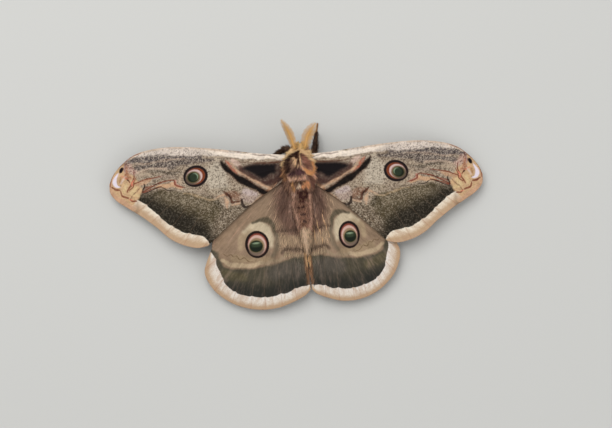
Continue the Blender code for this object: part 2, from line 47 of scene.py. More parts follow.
# Camera: straight down, turned as the photograph is against the stance
PHOTO_WIDTH = 612
PHOTO_SCALE = 0.36
PHOTO_TURN = math.radians(-1.6)
CAMERA_OVER = (3.26, 0.06)
WING_LEVEL = 7.0
LENS = 100.0
SENSOR = 36.0
CLIP_END = 10.0
# Studio, in metres: half the floor's side, and each light's name, place, width and watts
FLOOR_HALF = 1.5
FLOOR_COLOUR = (0.55, 0.55, 0.53, 1.0)
LIGHTS = (
    ("overhead light", (-0.2, 0.45, 0.75), 0.7, 5.7),
    ("side light", (0.7, -0.45, 0.5), 0.6, 1.4),
)
ROOM_LIGHT = 0.575

# Skin sections in the body frame: how far forward, aside, centre height, half width, half height
SKIN_SECTIONS = (
    (9.5, 1.72, 7.05, 0.6, 0.75),
    (8.8, 1.55, 7.35, 1.5, 1.6),
    (7.4, 1.15, 7.75, 2.2, 2.2),
    (6.2, 0.75, 7.9, 2.5, 2.5),
    (5.2, 0.5, 7.95, 3.4, 3.3),
    (4.2, 0.3, 8.1, 4.1, 4.0),
    (2.4, 0.1, 8.2, 4.8, 4.5),
    (0.5, 0.0, 8.2, 5.0, 4.6),
    (-2.5, 0.0, 8.2, 4.9, 4.5),
    (-5.5, 0.0, 8.2, 4.3, 3.9),
    (-8.0, 0.0, 8.2, 3.6, 3.4),
    (-11.0, 0.0, 8.2, 3.6, 3.5),
    (-15.5, 0.0, 8.1, 3.3, 3.3),
    (-20.5, 0.1, 7.9, 2.5, 2.6),
    (-25.0, 0.2, 7.8, 1.6, 1.7),
    (-28.2, 0.3, 7.7, 0.55, 0.5),
)
SKIN_VOXEL = 0.17
STATION_STEP = 0.3
BODY_SIDES = 64
# How the hair of the body lies: where, its length, how many degrees it stands off the skin, and how many
# degrees it turns from straight back towards the side
COAT_STATIONS = (
    (9.5, 1.2, 40.0, 150.0), (8.2, 1.6, 42.0, 125.0), (7.0, 2.0, 38.0, 95.0), (6.0, 2.3, 36.0, 66.0),
    (4.8, 2.5, 34.0, 46.0), (2.5, 2.7, 32.0, 30.0), (-2.0, 2.7, 32.0, 22.0), (-4.5, 2.3, 32.0, 14.0),
    (-6.5, 1.9, 28.0, 8.0), (-8.0, 1.5, 18.0, 6.0), (-12.0, 1.3, 14.0, 6.0), (-20.0, 1.5, 12.0, 4.0),
    (-24.0, 2.0, 10.0, 2.0), (-26.0, 2.6, 9.0, 0.0), (-28.3, 3.2, 7.0, 0.0),
)
# The pieces of hair on the body: from where to where, how far apart the tufts stand, and the slot
BODY_COATS = (
    ("coat_head", 9.6, 5.6, 0.3, "head_hair"),
    ("coat_thorax", 5.9, -6.9, 0.39, "body_hair"),
    ("coat_abdomen", -6.6, -28.3, 0.38, "body_hair"),
)
# One strand of a tuft: its lengths of straight prism, and in shares of the tuft's size how long it is, how
# far its root lies aside and along, how deep the root is sunk and how high it rises
STRAND_STEPS = 3
STRAND_LENGTHS = (0.62, 1.0)
STRAND_ROOTS = (0.05, 0.12)
STRAND_SUNK = 0.05
STRAND_RISES = (0.02, 0.22)
# Most tufts in a square millimetre, and how high over the floor the feet are bare
DENSEST = 60.0
BARE_BELOW = 0.45
# Hair over a wing's root: the step of the mesh that it grows on, and the angle that it stands off the wing
HAIR_GRID_STEP = 0.7
WING_HAIR_LIFT = 0.06
# The map of the coats, 1 across: the patch of one tuft, where the body's and the legs' strips lie, and how
# many millimetres of a wing go to the whole map
PATCH_SIZE = 0.003
MAP_EDGE = 0.02
MAP_HEIGHT = 0.94
BODY_MAP_WIDTH = 0.6
LEG_MAP_LEFT = 0.66
LEG_MAP_STEP = 0.055
LEG_MAP_WIDTH = 0.045
WING_MAP_SPAN = 150

# Head and eyes, in the body frame
HEAD_MIDDLE = Vector((1.15, 7.5, 7.7))
HEAD_TURN = math.radians(-15.0)
EYE_ASIDE = 2.05
EYE_RADIUS = 1.15
EYE_COLOUR = (30, 24, 20)

# Wing surfaces: the height falls away outwards and backwards from the roots
ROOT_HEIGHT = 9.0
ROOT_ASIDE = 5.0
HALF_SPAN = 67.7
TIP_DROOP = 5.4
DROOP_POWER = 1.5
REAR_DROOP = 0.0018
HINDWING_BELOW = 1.35
MEMBRANE = 0.34
RIM_THICKNESS = 0.14
RIM_WIDTH = 1.6
VEIN_RISE = 0.2
VEIN_WIDTH = 0.34
VEIN_FADE = 0.6
UNDER_RIDGE = 0.4
PLEAT_DEPTH = 0.22
PLEAT_WIDTH = 2.4
# Steps of a wing's mesh, along its outline and along its veins. A thin stroke gets rows of points of its
# own, along its middle and this far past its edges
GRID_STEP = 0.28
OUTLINE_STEP = 0.3
VEIN_STEP = 1.0
THIN_STEP = 0.16
ROWS_PAST_EDGE = (0.02, 0.16)
# The share of a step that the mesh's inner points keep from the outline, and how near two points are one
RIM_CLEAR = 0.6
SAME_POINT = 0.01
# These keep a divisor from being 0
TINY = 1e-9
SMALL = 1e-6

# Forewing in the stance frame, outwards and forwards
FOREWING_OUTLINE = (
    (
        (3.0, 9.1), (12.6, 9.8), (22.7, 11.2), (32.8, 12.4), (42.7, 13.1), (51.0, 12.6), (57.5, 11.0),
        (62.2, 7.9), (65.8, 4.0), (67.6, 0.3),
    ),
    (
        (67.6, 0.3), (67.3, -3.0), (64.9, -5.9), (60.6, -8.8), (55.8, -11.9), (50.6, -15.9), (46.2, -19.8),
        (41.6, -22.2), (36.5, -23.5), (32.4, -22.9),
    ),
    ((32.4, -22.9), (21.0, -12.4), (13.3, -6.2), (2.0, 1.4)),
)
FOREWING_VEINS = (
    ((3.0, 7.6), (15.0, 8.7), (28.0, 10.6), (40.0, 12.2), (46.0, 13.6)),
    ((3.0, 6.4), (15.0, 6.6), (26.0, 7.4), (33.0, 7.2), (42.0, 6.2), (54.0, 4.6), (67.9, 2.0)),
    ((26.0, 7.4), (38.0, 9.8), (48.0, 11.8), (54.0, 12.9)),
    ((33.0, 7.2), (44.0, 8.6), (54.0, 9.6), (61.5, 9.9)),
    ((33.5, 6.0), (42.0, 3.6), (52.0, -0.8), (60.0, -5.4), (64.9, -7.6)),
    ((34.8, 3.4), (43.0, 0.0), (51.5, -5.6), (59.4, -11.3)),
    ((33.8, 0.8), (41.5, -4.2), (48.0, -9.8), (54.2, -15.2)),
    ((31.5, -0.9), (38.5, -7.5), (44.0, -14.2), (48.8, -19.2)),
    ((25.6, -0.6), (32.4, -8.5), (38.2, -17.0), (41.8, -23.6)),
    ((3.0, 5.2), (14.0, 2.4), (25.6, -0.6), (31.5, -0.9), (33.8, 0.8), (34.8, 3.4), (33.0, 7.2)),
    ((3.0, 4.0), (14.5, -3.4), (23.0, -10.8), (34.9, -24.1)),
)
FOREWING_BORDER = (
    (57.6, -5.4), (55.5, -6.7), (53.8, -8.1), (51.3, -10.3), (49.0, -12.4), (46.1, -14.9), (43.5, -16.5),
    (40.5, -18.0), (37.0, -18.8), (34.2, -19.4), (32.4, -21.2), (31.0, -26.0), (46.0, -27.0), (63.0, -14.0),
)
FOREWING_ROOT = (3.0, 4.5)

# Hindwing in the body frame, outwards and forwards
HINDWING_SPREAD = {"left": 1.0, "right": 0.885}
HINDWING_OUTLINE = (
    ((2.0, -1.2), (10.0, -0.8), (20.0, -4.6), (28.0, -11.0), (32.6, -17.8), (34.2, -25.0)),
    (
        (34.2, -25.0), (36.6, -29.6), (37.7, -33.0), (36.9, -36.6), (34.0, -41.3), (28.8, -45.5),
        (23.3, -47.9), (17.9, -48.9), (12.2, -48.7), (6.6, -47.1), (2.4, -45.3), (0.25, -43.4),
    ),
    ((0.25, -43.4), (0.25, -30.0), (0.25, -6.0)),
)
HINDWING_VEINS = (
    ((3.4, -2.2), (14.0, -3.8), (24.0, -10.4), (31.0, -18.5), (35.2, -25.2)),
    ((3.4, -3.4), (9.5, -9.0), (14.5, -16.5), (24.0, -22.5), (32.0, -28.2), (38.4, -32.6)),
    ((14.5, -16.5), (18.7, -22.5), (26.0, -30.0), (31.5, -36.5), (35.9, -41.0)),
    ((18.4, -25.0), (24.0, -35.0), (29.8, -46.4)),
    ((16.6, -26.6), (20.0, -37.0), (22.8, -49.2)),
    ((14.6, -26.6), (16.6, -38.0), (17.2, -50.0)),
    ((11.4, -22.5), (11.2, -36.0), (11.0, -49.7)),
    ((3.4, -5.0), (7.6, -13.5), (11.4, -22.5), (14.6, -26.6), (16.6, -26.6), (18.4, -25.0), (18.7, -22.5)),
    ((3.4, -7.0), (5.2, -18.0), (6.4, -34.0), (5.4, -47.9)),
)
HINDWING_BORDER = (
    (34.6, -26.2), (33.3, -28.6), (33.1, -31.3), (31.9, -34.0), (31.2, -37.2), (29.6, -39.4), (27.0, -41.8),
    (24.0, -43.0), (20.5, -44.1), (16.2, -44.6), (12.0, -44.1), (8.9, -43.8), (7.0, -43.0), (4.4, -42.1),
    (2.1, -42.0), (-1.0, -42.2), (-1.0, -48.0), (12.0, -52.0), (30.0, -49.0), (40.0, -36.0), (37.5, -25.0),
)
HINDWING_ROOT = (3.0, -1.0)

# What is laid over a wing's or the body's first colour, in order. grain is how much its flecks or streaks
# show. A stroke's points hold a half width as well as a place, and it fades over soft beyond that
Wash = namedtuple("Wash", "name colour grain strength soft points fill", defaults=(False,))
# A marking with a sharp edge. jitter is how far single scales stray over it, and uneven how patchy it is.
# A filled one is an area, and a thin one gets rows of points of its own
Mark = namedtuple(
    "Mark", "name colour strength uneven soft jitter strokes fill thin", defaults=(False, False)
)
# One disc of an eyespot: its middle against the spot's, its half widths and its colour
Disc = namedtuple("Disc", "name shift radii colour soft")

# Steps along painted strokes, and how far and how often smooth noise shifts what is painted. The fine
# ripple has a share of the coarse one's strength
WASH_STEP = 0.6
MARK_STEP = 0.4
WASH_WANDER = 0.45
MARK_WANDER = 0.16
COARSE_RIPPLE = 2.6
FINE_RIPPLE = 0.8
FINE_SHARE = 0.35
RIPPLE_CELLS = 64
# Strength, size and seed of what mottles a colour
MOTTLES = ((0.1, 1.7, 11), (0.07, 0.7, 12))
# Seeds, of which the first two are added to a wing's own
MARK_SEED = 20
HAIR_SEED = 60
BODY_SEED = 31
# Coordinates of the streaks: how many to a radian round a wing's root, and how many millimetres to one
# along it
FLOW_ACROSS = 24.0
FLOW_ALONG = 7.0
# The notch that a vein cuts into the border, the half width of the line painted along it, and how far single
# scales stray over an eyespot's edges
NOTCH_DEPTH = 0.3
NOTCH_WIDTH = 0.55
VEIN_LINE = 0.1
DISC_JITTER = 0.3
# Where the forewing's border fades out towards its tip
BORDER_END = (60.0, 56.6)
VEIN_COLOUR = (150, 122, 98)
BORDER_STREAK_COLOUR = (186, 152, 122)
BORDER_DULL_COLOUR = (180, 148, 120)
BORDER_VEIN_COLOUR = (172, 124, 98)
DARK_FLECK = (0.24, 0.21, 0.2, 1.0)
DARK_STREAK = (0.3, 0.26, 0.26, 1.0)
# The pale border: cream along the dark field, tan towards the margin
FOREWING_BORDER_COLOURS = (
    (0.0, (242, 231, 212)), (0.32, (230, 212, 188)), (0.62, (196, 167, 134)), (1.0, (200, 166, 134)),
)
HINDWING_BORDER_COLOURS = (
    (0.0, (238, 229, 220)), (0.46, (228, 216, 201)), (0.78, (192, 162, 130)), (1.0, (190, 156, 124)),
)

FOREWING_BASE = Wash("ground", (156, 138, 118), 0.85, 1.0, 1.0, ())
FOREWING_WASHES = (
    Wash("middle field", (188, 175, 156), 0.95, 0.95, 3.0,
         ((27.5, 5.4, 1.4), (29.0, 1.5, 2.4), (26.4, -1.6, 0.6))),
    Wash("costal grey", (220, 206, 194), 0.85, 0.95, 1.2,
         ((20.0, 10.2, 0.2), (30.0, 11.0, 0.8), (38.0, 11.4, 1.1), (46.0, 11.6, 1.1), (53.0, 11.2, 0.5),
          (57.0, 10.3, 0.2))),
    Wash("costal white", (246, 231, 214), 0.35, 1.0, 0.6,
         ((3.0, 8.4, 0.7), (10.0, 8.6, 0.8), (18.0, 9.0, 0.8), (24.0, 9.9, 0.5), (32.0, 11.7, 0.2))),
    Wash("costal edge", (206, 184, 164), 0.4, 0.9, 0.4,
         ((24.0, 11.3, 0.2), (42.0, 13.0, 0.3), (52.0, 12.4, 0.4), (58.0, 10.8, 0.4), (62.6, 7.6, 0.3))),
    Wash("costal lines", (126, 106, 98), 0.4, 0.75, 0.3,
         ((6.5, 8.2, 0.04), (11.0, 8.9, 0.12), (15.5, 9.3, 0.05))),
    Wash("upper dark streak", (92, 84, 86), 1.0, 0.9, 1.0,
         ((62.0, 6.8, 0.05), (59.6, 8.2, 0.4), (55.4, 8.9, 0.8), (51.0, 9.2, 0.8), (46.0, 9.1, 0.4),
          (40.0, 9.2, 0.2), (34.0, 9.0, 0.05))),
    Wash("middle dark streak", (94, 84, 82), 1.0, 0.85, 1.1,
         ((57.5, 5.9, 0.2), (50.0, 6.4, 1.1), (43.0, 7.2, 0.8), (37.0, 7.6, 0.4), (30.0, 8.0, 0.1))),
    Wash("light between the streaks", (186, 162, 142), 0.8, 0.55, 0.4,
         ((57.0, 7.2, 0.05), (53.0, 7.7, 0.15), (46.0, 8.5, 0.15), (40.0, 8.7, 0.1))),
    Wash("lower dark streak", (96, 84, 72), 0.9, 0.85, 0.6,
         ((53.0, 4.3, 0.05), (48.5, 4.3, 0.3), (44.3, 3.6, 0.4), (41.4, 3.6, 0.1))),
    Wash("pale streak", (192, 168, 146), 0.5, 0.75, 0.6,
         ((58.0, 4.2, 0.3), (53.0, 5.3, 0.1), (46.5, 5.6, 0.1))),
    Wash("lower field", (85, 74, 54), 0.5, 1.0, 0.7,
         ((57.6, -5.4), (54.6, -4.3), (51.8, -3.1), (49.6, -2.1), (47.6, -1.9), (46.2, -2.6),
          (43.6, -2.8), (40.4, -3.1), (37.4, -3.8), (33.6, -5.0), (29.4, -5.8), (27.6, -7.4),
          (26.2, -9.4), (22.6, -9.2), (19.8, -10.0), (16.8, -9.9), (13.8, -8.4), (20.0, -15.0),
          (33.0, -26.0), (46.0, -26.0), (60.0, -12.0)), True),
    Wash("lighter upper strip", (116, 103, 82), 0.7, 0.65, 1.8,
         ((52.0, -5.2, 0.1), (45.0, -5.2, 0.9), (38.0, -6.4, 0.9), (32.0, -8.4, 0.7))),
    Wash("tan wave", (168, 144, 112), 0.6, 0.75, 0.4,
         ((40.8, -3.5, 0.1), (36.6, -4.4, 0.15), (33.4, -5.8, 0.16), (30.6, -6.5, 0.1),
          (28.4, -5.4, 0.16))),
    Wash("speckled inner field", (122, 106, 88), 1.0, 0.85, 2.8,
         ((20.5, -10.8, 0.5), (24.5, -12.6, 1.5), (28.0, -15.6, 1.2), (30.2, -18.4, 0.2))),
    Wash("near the border", (38, 33, 25), 0.16, 1.0, 6.4,
         ((57.0, -6.0, 0.4), (53.6, -8.4, 1.4), (49.0, -12.2, 2.4), (43.5, -15.6, 3.2),
          (38.4, -18.2, 3.0), (33.6, -20.6, 1.0))),
    Wash("apex", (202, 166, 126), 0.3, 1.0, 0.6,
         ((62.2, 7.6), (61.3, 5.6), (60.2, 4.0), (57.4, 2.2), (55.6, -2.2), (57.0, -4.4), (57.8, -6.2),
          (61.0, -12.0), (70.0, -6.0), (71.0, 4.0), (63.6, 8.6)), True),
    Wash("apical pink", (194, 156, 142), 0.9, 0.8, 1.5,
         ((60.4, 6.6, 0.1), (59.6, 5.2, 0.5), (58.0, 4.6, 0.2))),
    Wash("apical buff", (192, 170, 146), 0.4, 0.7, 0.6,
         ((57.6, 3.2, 0.4), (55.6, 3.4, 0.4), (53.0, 3.2, 0.1))),
    Wash("peach tip", (200, 158, 126), 0.2, 0.95, 0.6,
         ((66.8, 3.4, 0.15), (67.4, 0.0, 0.3), (66.9, -3.4, 0.7), (62.4, -7.1, 0.8), (59.0, -8.6, 0.9))),
    Wash("salmon", (166, 106, 80), 0.6, 0.75, 0.8,
         ((61.4, 6.2, 0.1), (61.0, 4.6, 0.15), (61.3, 3.2, 0.3), (60.2, 2.2, 0.1))),
    Wash("maroon by the dot", (112, 62, 56), 0.3, 0.85, 0.3,
         ((61.2, 7.6, 0.08), (61.8, 6.2, 0.16), (61.6, 4.6, 0.1))),
    Wash("brown inside the crescent", (164, 118, 78), 0.3, 0.8, 0.5, ((63.6, 2.4, 0.2), (63.9, 1.0, 0.2))),
    Wash("olive cells", (218, 190, 142), 0.3, 0.85, 0.5,
         ((57.6, -0.9, 0.4), (59.4, -3.1, 0.6), (57.4, -4.0, 0.5))),
    Wash("olive cell", (218, 190, 142), 0.3, 0.85, 0.5, ((61.6, -0.2, 0.3), (62.2, -2.6, 0.3))),
    Wash("grey above the lines", (142, 124, 110), 0.7, 0.75, 0.6,
         ((43.5, 2.4, 0.1), (49.0, 2.2, 0.3), (51.6, 0.9, 0.1))),
    Wash("tan outside the spot", (203, 162, 126), 0.35, 0.95, 0.5,
         ((41.6, -1.5, 0.2), (44.6, -0.6, 0.6), (47.6, -0.5, 0.5), (50.0, -1.0, 0.15))),
    Wash("tan before the apex", (190, 150, 118), 0.4, 0.9, 0.6,
         ((52.6, 1.2, 0.2), (55.0, 0.6, 0.5), (57.2, 0.2, 0.4))),
    Wash("pink by the spot", (188, 128, 112), 0.35, 0.85, 0.45,
         ((43.3, 0.7, 0.25), (43.4, -0.4, 0.3), (41.4, -1.0, 0.12))),
    Wash("buff by the spot", (190, 166, 142), 0.5, 0.7, 0.6, ((41.6, 1.2, 0.4), (41.3, 0.2, 0.3))),
    Wash("olive by the marks", (78, 68, 52), 0.7, 0.75, 0.7, ((28.9, -7.2, 0.4), (27.0, -9.4, 0.5))),
    Wash("dull below the middle", (146, 130, 108), 0.9, 0.7, 1.2,
         ((31.6, -3.2, 0.5), (27.8, -3.4, 0.4), (23.6, -2.4, 0.2))),
    Wash("brown by the marks", (130, 94, 74), 0.6, 0.85, 1.0,
         ((24.4, -4.4, 0.6), (22.0, -5.0, 0.9), (20.4, -5.9, 0.6))),
    Wash("lilac", (164, 142, 130), 0.7, 0.95, 0.6,
         ((18.8, -2.8), (14.4, -3.9), (14.0, -5.2), (16.2, -7.6), (18.8, -7.6), (19.8, -5.2)), True),
    Wash("pale lilac", (200, 182, 178), 0.6, 0.6, 0.8,
         ((18.8, -3.7, 0.4), (17.0, -4.3, 0.7), (15.2, -4.7, 0.3))),
    Wash("tan inner edge", (150, 112, 84), 0.45, 0.9, 0.7,
         ((7.0, 0.0, 0.6), (11.0, -4.3, 0.4), (16.7, -9.5, 0.4))),
    Wash("pink before the band", (202, 174, 158), 0.5, 0.9, 0.6,
         ((23.0, 7.6, 0.4), (20.8, 6.0, 0.6), (18.8, 3.9, 0.3))),
    Wash("brown round the wedge", (98, 68, 54), 0.2, 0.9, 0.8,
         ((4.2, 1.0, 0.6), (9.0, -0.4, 0.4), (11.8, -0.9, 0.3), (15.4, 1.2, 0.4), (18.9, 3.4, 0.4),
          (19.8, 5.0, 0.3))),
    Wash("brown root", (78, 52, 40), 0.4, 0.9, 1.0, ((3.5, 6.4, 0.4), (4.5, 3.0, 1.0), (5.5, 0.6, 0.4))),
)
FOREWING_MARKS = (
    Mark("wedge_shadow", (66, 44, 40), 0.92, 0.2, 0.9, 0.8,
         ((4.6, 6.2), (12.0, 6.4), (16.8, 6.1), (20.8, 4.5), (18.4, 2.9), (15.4, 1.2), (13.2, -0.4),
          (11.0, -1.5), (8.0, -1.9), (4.4, 0.2)), True),
    Mark("wedge", (22, 17, 18), 1.0, 0.0, 0.75, 0.9,
         ((7.0, 5.7), (11.0, 5.9), (15.8, 5.7), (18.9, 4.5), (16.2, 3.2), (14.2, 2.0), (12.4, 0.9),
          (10.8, 1.2), (9.2, 2.4), (7.4, 2.6)), True),
    Mark("band_edge", (92, 56, 40), 0.9, 0.35, 0.55, 0.9,
         (((26.9, 7.4, 0.4), (25.8, 6.0, 1.0), (24.0, 4.1, 1.15), (21.7, 2.2, 1.15), (19.2, 0.5, 1.4),
           (16.4, -1.2, 1.3), (13.9, -2.6, 1.0), (11.9, -4.0, 1.1), (10.0, -4.0, 0.5)),)),
    Mark("band", (20, 14, 12), 1.0, 0.04, 0.4, 0.8,
         (((26.8, 7.5, 0.25), (26.0, 6.0, 0.85), (24.2, 4.0, 0.9), (21.9, 2.1, 0.75), (19.4, 0.4, 1.2),
           (16.6, -1.3, 1.1), (14.2, -2.6, 0.7), (12.0, -4.0, 0.9), (10.4, -4.2, 0.4)),)),
    Mark("salmon_edge", (186, 106, 82), 0.9, 0.7, 0.4, 0.5,
         (((25.0, 7.6, 0.2), (23.9, 6.2, 0.5), (22.5, 4.4, 0.5), (21.0, 3.2, 0.2)),)),
    Mark("cream", (208, 168, 136), 0.9, 0.5, 0.4, 0.6,
         (((23.0, 6.6, 0.2), (22.0, 5.2, 0.3), (20.6, 3.5, 0.42), (18.2, 2.2, 0.2), (16.0, 0.7, 0.25),
           (13.7, -0.6, 0.5), (11.2, -1.9, 0.4), (9.2, -2.8, 0.35)),
          ((29.2, -5.9, 0.05), (27.4, -5.0, 0.3), (26.2, -4.7, 0.5)),
          ((25.8, -5.8, 0.3), (25.0, -7.2, 0.7), (25.0, -8.6, 0.4), (25.0, -9.7, 0.05)),
          ((23.0, -8.4, 0.2), (21.6, -8.1, 0.3), (20.5, -7.8, 0.25)))),
    Mark("brown_mark", (88, 52, 38), 0.97, 0.2, 0.3, 0.8,
         (((26.0, -3.4, 0.35), (25.0, -4.6, 0.6), (23.7, -5.5, 0.5), (23.1, -7.4, 0.5),
           (22.0, -7.3, 0.35), (20.6, -7.1, 0.3), (19.6, -6.9, 0.3)),
          ((56.3, -1.1, 0.06), (57.6, -2.4, 0.14), (59.1, -3.7, 0.12), (59.8, -5.0, 0.06)),
          ((3.4, 6.8, 0.4), (7.7, 6.4, 0.3), (14.0, 6.4, 0.2), (17.0, 6.8, 0.12), (20.8, 7.1, 0.04)))),
    Mark("rust", (122, 62, 44), 0.95, 0.2, 0.12, 0.26,
         (((39.9, -1.6, 0.12), (41.9, -1.1, 0.26), (43.5, -0.5, 0.33), (43.8, 0.9, 0.26),
           (45.2, 1.2, 0.21), (47.4, 0.8, 0.26), (49.7, 0.1, 0.26), (51.6, -0.6, 0.26),
           (53.4, -1.6, 0.26), (55.4, -2.8, 0.26)),
          ((48.4, -0.9, 0.14), (50.6, -1.4, 0.21), (52.6, -2.1, 0.21), (55.0, -2.9, 0.19)),
          ((55.6, -2.6, 0.19), (55.0, -1.5, 0.21), (53.8, -1.1, 0.21), (52.2, -0.4, 0.14)),
          ((48.6, 2.5, 0.12), (50.8, 2.3, 0.19), (52.6, 2.1, 0.21), (54.7, 1.6, 0.21), (56.7, 0.9, 0.21),
           (58.7, 0.2, 0.24), (59.6, -0.5, 0.21)),
          ((58.5, 4.6, 0.12), (58.4, 2.9, 0.22), (59.1, 1.2, 0.24), (59.8, -0.3, 0.28),
           (60.6, -1.6, 0.28), (61.1, -2.7, 0.19)),
          ((57.6, 3.0, 0.12), (58.5, 1.2, 0.19), (58.9, -0.7, 0.21), (60.3, -1.9, 0.19)),
          ((61.8, 2.5, 0.19), (60.8, 2.0, 0.26), (60.0, 0.8, 0.19)),
          ((66.6, -0.9, 0.26), (65.3, -1.7, 0.43), (64.0, -1.9, 0.31)),
          ((63.5, -2.4, 0.19), (63.0, -4.0, 0.33), (60.8, -4.8, 0.31)),
          ((60.2, -5.0, 0.14), (59.5, -5.9, 0.28), (57.8, -5.9, 0.24)),
          ((55.0, 11.6, 0.08), (58.4, 10.4, 0.14), (61.6, 8.4, 0.16), (64.8, 5.5, 0.19),
           (66.6, 2.7, 0.19), (67.3, -0.8, 0.14))),
         False, True),
    Mark("bright_salmon", (222, 132, 106), 0.9, 0.1, 0.2, 0.24,
         (((63.4, 3.3, 0.1), (62.2, 2.7, 0.2), (61.0, 2.1, 0.12)),
          ((58.6, 1.6, 0.14), (59.3, 0.7, 0.3), (59.3, -0.2, 0.24)),
          ((60.6, -5.4, 0.1), (59.4, -5.5, 0.2)))),
    Mark("black", (44, 33, 28), 0.95, 0.1, 0.12, 0.3,
         (((43.2, -2.6, 0.05), (46.5, -2.3, 0.2), (48.4, -1.3, 0.15), (50.6, -1.7, 0.2),
           (52.8, -2.7, 0.18), (55.6, -3.5, 0.12)),
          ((55.0, 0.1, 0.15), (54.7, -0.9, 0.32), (55.2, -1.8, 0.24), (55.3, -3.1, 0.14)),
          ((52.2, 0.3, 0.06), (50.8, -0.2, 0.14), (49.2, 0.3, 0.08)),
          ((61.0, 1.8, 0.2), (60.5, 1.5, 0.16)),
          ((63.3, -0.2, 0.06), (64.0, -1.1, 0.1)),
          ((24.8, -4.4, 0.14), (24.2, -5.2, 0.24), (23.4, -6.2, 0.16)),
          ((19.7, -6.6, 0.35), (19.4, -8.4, 0.5), (18.2, -9.2, 0.45), (16.4, -8.7, 0.3))),
         False, True),
    Mark("lilac_light", (222, 200, 192), 0.65, 0.3, 0.3, 0.3,
         (((61.7, 2.9, 0.1), (62.6, 1.6, 0.35), (63.3, 0.5, 0.3)), ((61.6, 7.3, 0.06), (62.0, 6.6, 0.12),
           (61.9, 4.6, 0.1)))),
    Mark("white_crescent", (232, 220, 230), 1.0, 0.0, 0.25, 0.3,
         (((64.2, 4.1, 0.15), (65.0, 3.0, 0.44), (65.6, 1.5, 0.7), (65.5, 0.3, 0.72), (64.8, -0.5, 0.46),
           (63.7, -0.8, 0.18)),)),
)
FOREWING_SPOT = {
    "middle": (36.1, 2.35), "turn": 15.0,
    "discs": (
        Disc("black ring", (0.0, 0.0), (4.5, 3.86), (32, 22, 22), 0.14),
        Disc("mauve", (0.05, 0.0), (3.5, 2.9), (106, 88, 76), 0.16),
        Disc("rust", (-0.06, 0.04), (3.4, 2.86), (122, 58, 32), 0.2),
        Disc("white", (0.42, -0.1), (2.94, 2.48), (206, 178, 172), 0.18),
        Disc("tan", (0.84, -0.5), (2.7, 2.3), (120, 100, 78), 0.26),
        Disc("mauve side", (1.4, -0.86), (2.1, 1.96), (94, 78, 68), 0.4),
        Disc("olive rim", (0.9, -0.38), (2.2, 1.94), (96, 90, 54), 0.2),
        Disc("pupil", (0.9, -0.4), (2.0, 1.76), (26, 31, 23), 0.22),
        Disc("pale slit", (0.3, -0.1), (1.2, 1.22), (150, 170, 138), 0.22),
        Disc("green", (0.7, -0.34), (1.36, 1.4), (45, 55, 40), 0.3),
    ),
}
APICAL_DOT = {
    "middle": (63.1, 5.3), "turn": -28.0,
    "discs": (Disc("dot", (0.0, 0.0), (0.66, 1.16), (22, 14, 20), 0.16),),
}

